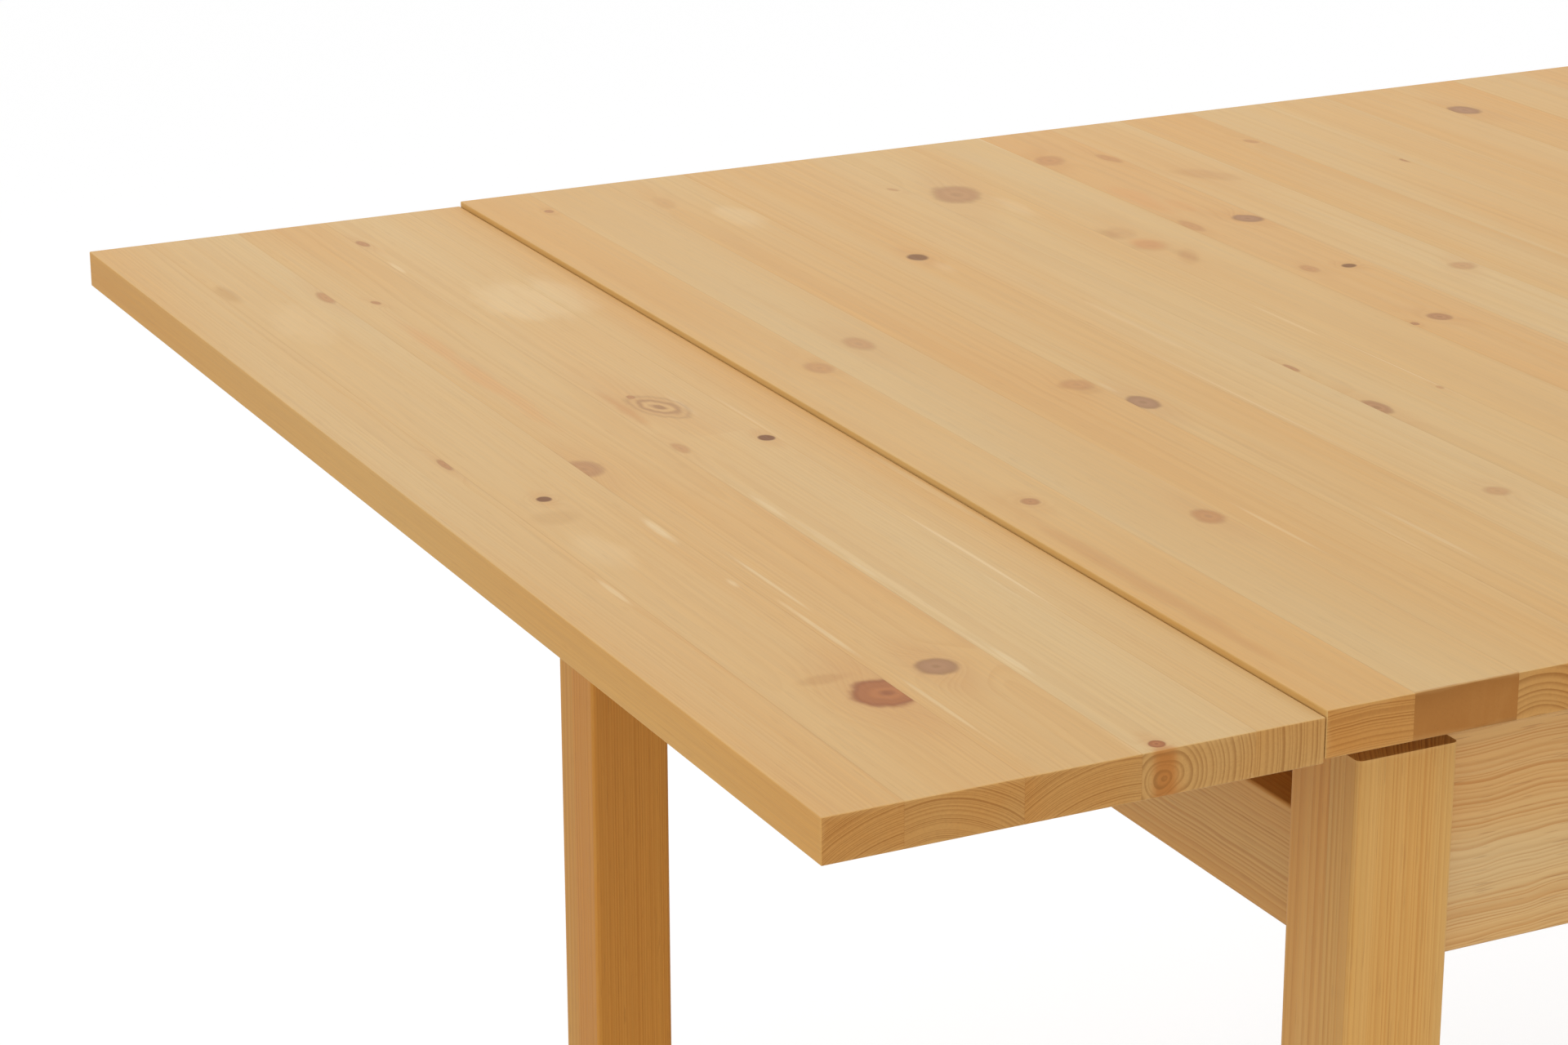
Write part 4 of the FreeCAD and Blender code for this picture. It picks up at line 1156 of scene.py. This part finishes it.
def felt_wool():
    """Pressed wool felt: matted fibres in two greys, soft and quite rough."""
    made, b, shader = blank_material("felt wool")
    place = b.node("ShaderNodeTexCoord").outputs["Object"]
    luck = b.chance(b.sums("SNAP", place, (WOOL_CELL,) * 3))
    bent = b.sums("ADD", place, b.sums("MULTIPLY", luck, (WOOL_BEND,) * 3))
    along = b.noise(bent, 3.0, "wool along")
    across = b.noise(bent, 3.0, "wool across")
    matted = b.math("MAXIMUM", along, across)
    tufts = b.noise(place, 2.0, "wool tuft")
    colour = b.mix(b.step(matted, 0.45, 0.7), "wool dark", "wool light")
    colour = b.mix(b.step(tufts, 0.55, 0.75, 0.0, 0.3), colour, "wool tuft")
    shader.inputs["Sheen Weight"].default_value = 0.4
    surface_from(b, shader, colour, b.step(matted, 0.4, 0.7, 1.0, 0.86, False), matted,
                 BUMPS["felt"])
    return made


def cut_felt():
    """Two strips of felt laid on the centre board under the main top, a piece each."""
    low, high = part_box("felt_strips")
    wool = felt_wool()
    rng = np.random.default_rng(SEEDS["felt"])
    for name, side in (("felt_strip_front", -1), ("felt_strip_back", 1)):
        inner = max(high.y, -low.y) - FELT_WIDTH
        near, far = (inner, inner + FELT_WIDTH) if side > 0 else (-inner - FELT_WIDTH, -inner)
        bm = bmesh.new()
        rows, columns = FELT_ROWS, FELT_COLUMNS
        grid = []
        for row in range(rows + 1):
            x = low.x + (high.x - low.x) * row / rows
            line = []
            for column in range(columns + 1):
                y = near + (far - near) * column / columns
                if column in (0, columns):
                    y += rng.uniform(0.0, FELT_RAGGED) * (1 if column == 0 else -1)
                line.append(bm.verts.new((x, y, low.z)))
            grid.append(line)
        for row in range(rows):
            for column in range(columns):
                bm.faces.new((grid[row][column], grid[row + 1][column],
                              grid[row + 1][column + 1], grid[row][column + 1]))
        mesh = bpy.data.meshes.new(name)
        bm.to_mesh(mesh)
        bm.free()
        piece = placed(name, mesh)
        mesh.materials.append(wool)
        thick = piece.modifiers.new("thickness", "SOLIDIFY")
        thick.thickness = high.z - low.z
        thick.offset = 1.0
        settle(piece)
        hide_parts("felt_strips")
        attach(piece, "frame")


def solids_of(node):
    """The separate solids of a CAD node, each as the array of its corners."""
    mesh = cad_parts[node].data
    spots = np.empty(len(mesh.vertices) * 3)
    mesh.vertices.foreach_get("co", spots)
    spots = spots.reshape(-1, 3)
    _, same = np.unique(np.round(spots, 6), axis=0, return_inverse=True)
    same = same.ravel()
    group = np.arange(same.max() + 1)
    faces = np.array([[same[v] for v in face.vertices] for face in mesh.polygons])
    changed = True
    while changed:
        least = group[faces].min(axis=1)
        before = group.copy()
        for corner in range(3):
            np.minimum.at(group, faces[:, corner], least)
        group = group[group]
        changed = not np.array_equal(before, group)
    label = group[same]
    return [spots[label == value] for value in np.unique(label)]


def screw_places(nodes):
    """Where each screw's head lies, which way it faces and how long the screw is."""
    found = []
    for node in nodes:
        for solid in solids_of(node):
            size = solid.max(axis=0) - solid.min(axis=0)
            axis = int(np.argmax(size))
            middle = (solid.max(axis=0) + solid.min(axis=0)) / 2
            top = solid[solid[:, axis] > solid[:, axis].max() - MM / 2]
            bottom = solid[solid[:, axis] < solid[:, axis].min() + MM / 2]
            wide_top = np.ptp(top, axis=0).max()
            wide_bottom = np.ptp(bottom, axis=0).max()
            way = np.zeros(3)
            way[axis] = 1.0 if wide_top > wide_bottom else -1.0
            found.append((middle + way * size[axis] / 2, way, size[axis]))
    return found


def bolt_places(node):
    """The middle, direction and length of each hanger bolt, which lies level and slanting."""
    found = []
    for solid in solids_of(node):
        middle = (solid.max(axis=0) + solid.min(axis=0)) / 2
        spread = solid - middle
        way = np.linalg.svd(spread, full_matrices=False)[2][0]
        along = spread @ way
        if (way[:2] * middle[:2]).sum() > 0:
            way, along = -way, -along
        end = middle + way * along.max()
        found.append((end, way, np.ptp(along)))
    return found


def plant(name, places):
    """A mesh of bare points that carry the turn and length of what is planted on them."""
    mesh = bpy.data.meshes.new(name + "_places")
    mesh.from_pydata([tuple(spot) for spot, _, _ in places], [], [])
    turns = [Vector(way).to_track_quat("Z", "Y").to_euler() for _, way, _ in places]
    layer = mesh.attributes.new("turn", "FLOAT_VECTOR", "POINT")
    layer.data.foreach_set("vector", [angle for turn in turns for angle in turn])
    layer = mesh.attributes.new("length", "FLOAT", "POINT")
    layer.data.foreach_set("value", [length for _, _, length in places])
    return mesh


@shape_recipe
def countersunk_screws(b, geometry, head_radius=4.2 * MM, head_depth=2.6 * MM,
                       shank_radius=2.0 * MM, recess_reach=4.6 * MM, recess_width=0.9 * MM,
                       recess_depth=1.5 * MM):
    """Countersunk screws with a cross recess, one on each point."""
    head = b.shape("MeshCone", {
        "Vertices": HEAD_SIDES, "Radius Top": head_radius,
        "Radius Bottom": shank_radius, "Depth": head_depth})
    head = moved(b, head, b.vector(0.0, 0.0, b.times(head_depth, -1.0)))
    deep = b.times(recess_depth, 2.0)
    one = b.shape("MeshCube", {"Size": b.vector(recess_reach, recess_width, deep)})
    other = b.shape("MeshCube", {"Size": b.vector(recess_width, recess_reach, deep)})
    cut = b.node("GeometryNodeMeshBoolean", operation="DIFFERENCE", solver="EXACT")
    b.feed(cut.inputs["Mesh 1"], head)
    b.feed(cut.inputs["Mesh 2"], one)
    b.feed(cut.inputs["Mesh 2"], other)
    shank = b.shape("MeshCylinder", {
        "Vertices": SHANK_SIDES, "Radius": b.times(shank_radius, SHANK_SHARE),
        "Depth": 1.0})
    shank = moved(b, shank, (0.0, 0.0, -0.5))
    length = point_value(b, "length", "FLOAT")
    below = b.minus(length, b.times(head_depth, SHANK_START))
    heads = planted(b, cut.outputs["Mesh"], geometry)
    shanks = planted(b, shank, geometry, below)
    start = b.times(head_depth, -SHANK_START)
    down = b.node("FunctionNodeRotateVector", {
        "Vector": b.vector(0.0, 0.0, start), "Rotation": point_turn(b)})
    sunk = b.shape("SetPosition", {
        "Geometry": b.shape("RealizeInstances", {"Geometry": shanks}),
        "Offset": down.outputs[0]})
    return joined(b, heads, sunk)


@shape_recipe
def hanger_bolts_thread(b, geometry, core_radius=3.45 * MM, thread_radius=3.5 * MM,
                        ridge=0.5 * MM, pitch=1.25 * MM, length=60 * MM):
    """Hanger bolts: a core with a thread wound round it, one on each point."""
    core = b.shape("MeshCylinder", {"Vertices": BOLT_SIDES, "Radius": core_radius,
                                    "Depth": length})
    core = moved(b, core, b.vector(0.0, 0.0, b.times(length, -0.5)))
    wound = b.minus(length, b.times(pitch, 2.0))
    turns = b.over(wound, pitch)
    spiral = b.shape("CurveSpiral", {
        "Resolution": THREAD_STEPS, "Rotations": turns, "Start Radius": thread_radius,
        "End Radius": thread_radius, "Height": wound})
    profile = b.shape("CurvePrimitiveCircle", {
        "Resolution": THREAD_SIDES, "Radius": ridge}, mode="RADIUS")
    thread = b.shape("CurveToMesh", {"Curve": spiral, "Profile Curve": profile,
                                     "Fill Caps": True})
    drop = b.minus(pitch, length)
    thread = moved(b, thread, b.vector(0.0, 0.0, drop))
    return planted(b, joined(b, core, thread), geometry)


def drive_screws():
    yellow = plated("yellow zinc", "yellow zinc")
    sets = {"frame": ["centre_board_screws", "corner_block_screws", "left_end_guide_screws",
                      "right_end_guide_screws", "left_guide_strip_screws",
                      "right_guide_strip_screws"],
            "left_leaf": ["left_leaf_screws", "left_stop_screws"],
            "right_leaf": ["right_leaf_screws", "right_stop_screws"]}
    for body, nodes in sets.items():
        name = body + "_cross_screws"
        piece = grow(name, countersunk_screws, {"Finish": yellow},
                     carrier=plant(name, screw_places(nodes)))
        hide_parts(*nodes)
        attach(piece, body)


def fit_bolts():
    steel = plated("zinc steel", "zinc")
    places = bolt_places("hanger_bolts")
    piece = grow("hanger_bolts_threaded", hanger_bolts_thread, {
        "Length": float(places[0][2]), "Finish": steel},
        carrier=plant("hanger_bolts_threaded", places))
    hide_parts("hanger_bolts")
    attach(piece, "frame")
    for node in ("bolt_nuts", "bolt_washers"):
        dress(node, steel)


def dress_small_parts():
    dress("apron_dowels", beech("apron dowel beech", TURNS["xz"]))
    dress("rail_dowels", beech("rail dowel beech", TURNS["yz"]))
    dress("locating_pegs", beech("peg beech", TURNS["zy"]))
    nylon = glide_nylon()
    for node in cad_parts:
        if node.startswith("foot_glide"):
            dress(node, nylon)


def light_studio():
    world = bpy.data.worlds.new("studio")
    bpy.context.scene.world = world
    world.use_nodes = True
    world.node_tree.nodes.clear()
    b = Bench(world.node_tree)
    ray = b.node("ShaderNodeLightPath").outputs
    seen = b.math("MAXIMUM", ray["Is Camera Ray"],
                  b.math("MAXIMUM", ray["Is Glossy Ray"], ray["Is Transmission Ray"]))
    strength = b.mix(seen, WORLD_LIGHT, 1.0, "FLOAT")
    back = b.node("ShaderNodeBackground", {"Color": (1.0, 1.0, 1.0, 1.0), "Strength": strength})
    b.node("ShaderNodeOutputWorld", {"Surface": back.outputs[0]})
    for name, (place, aim, size, watts) in LAMPS.items():
        lamp = bpy.data.lights.new(name, "AREA")
        lamp.shape = "SQUARE"
        lamp.size = size
        lamp.energy = watts
        made = placed(name, lamp)
        made.location = place
        turn = Vector(aim) - made.location
        made.rotation_euler = turn.to_track_quat("-Z", "Y").to_euler()


def lay_floor():
    mesh = bpy.data.meshes.new("floor")
    corners = [(x * FLOOR_REACH, y * FLOOR_REACH, 0.0)
               for x, y in ((-1, -1), (1, -1), (1, 1), (-1, 1))]
    mesh.from_pydata(corners, [], [(0, 1, 2, 3)])
    made = placed("floor", mesh)
    material, b, shader = blank_material("pale floor")
    b.feed(shader.inputs["Base Color"], PAINTS["floor"])
    b.feed(shader.inputs["Roughness"], FLOOR_ROUGHNESS)
    ray = b.node("ShaderNodeLightPath").outputs
    b.feed(shader.inputs["Emission Color"], (1.0, 1.0, 1.0, 1.0))
    b.feed(shader.inputs["Emission Strength"], b.times(ray["Is Camera Ray"], FLOOR_GLOW))
    mesh.materials.append(material)
    made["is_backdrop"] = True


def set_camera():
    across = Vector((math.cos(CAMERA_TURN), -math.sin(CAMERA_TURN), 0.0))
    ahead = Vector((math.sin(CAMERA_TURN) * math.cos(CAMERA_DIP),
                    math.cos(CAMERA_TURN) * math.cos(CAMERA_DIP), -math.sin(CAMERA_DIP)))
    down = ahead.cross(across)
    right = across * math.cos(CAMERA_ROLL) + down * math.sin(CAMERA_ROLL)
    up = across * math.sin(CAMERA_ROLL) - down * math.cos(CAMERA_ROLL)
    lens = bpy.data.cameras.new("camera")
    lens.lens = CAMERA_LENS
    lens.sensor_width = CAMERA_SENSOR
    lens.clip_start = CAMERA_NEAR
    lens.clip_end = CAMERA_FAR
    made = placed("camera", lens)
    turn = Matrix((right, up, -ahead)).transposed().to_4x4()
    made.matrix_world = Matrix.Translation(CAMERA_PLACE) @ turn
    bpy.context.scene.camera = made


def write_sizes():
    boxes = {"cad": [list(corner) for corner in SOLIDS_BOX],
             "looks": [list(corner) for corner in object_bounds()]}


set_camera()
light_studio()
lay_floor()
lay_tops()
dress_legs()
dress_aprons()
dress_runners()
dress_small_parts()
cut_felt()
drive_screws()
fit_bolts()
bpy.context.scene.view_settings.view_transform = "Standard"
write_sizes()
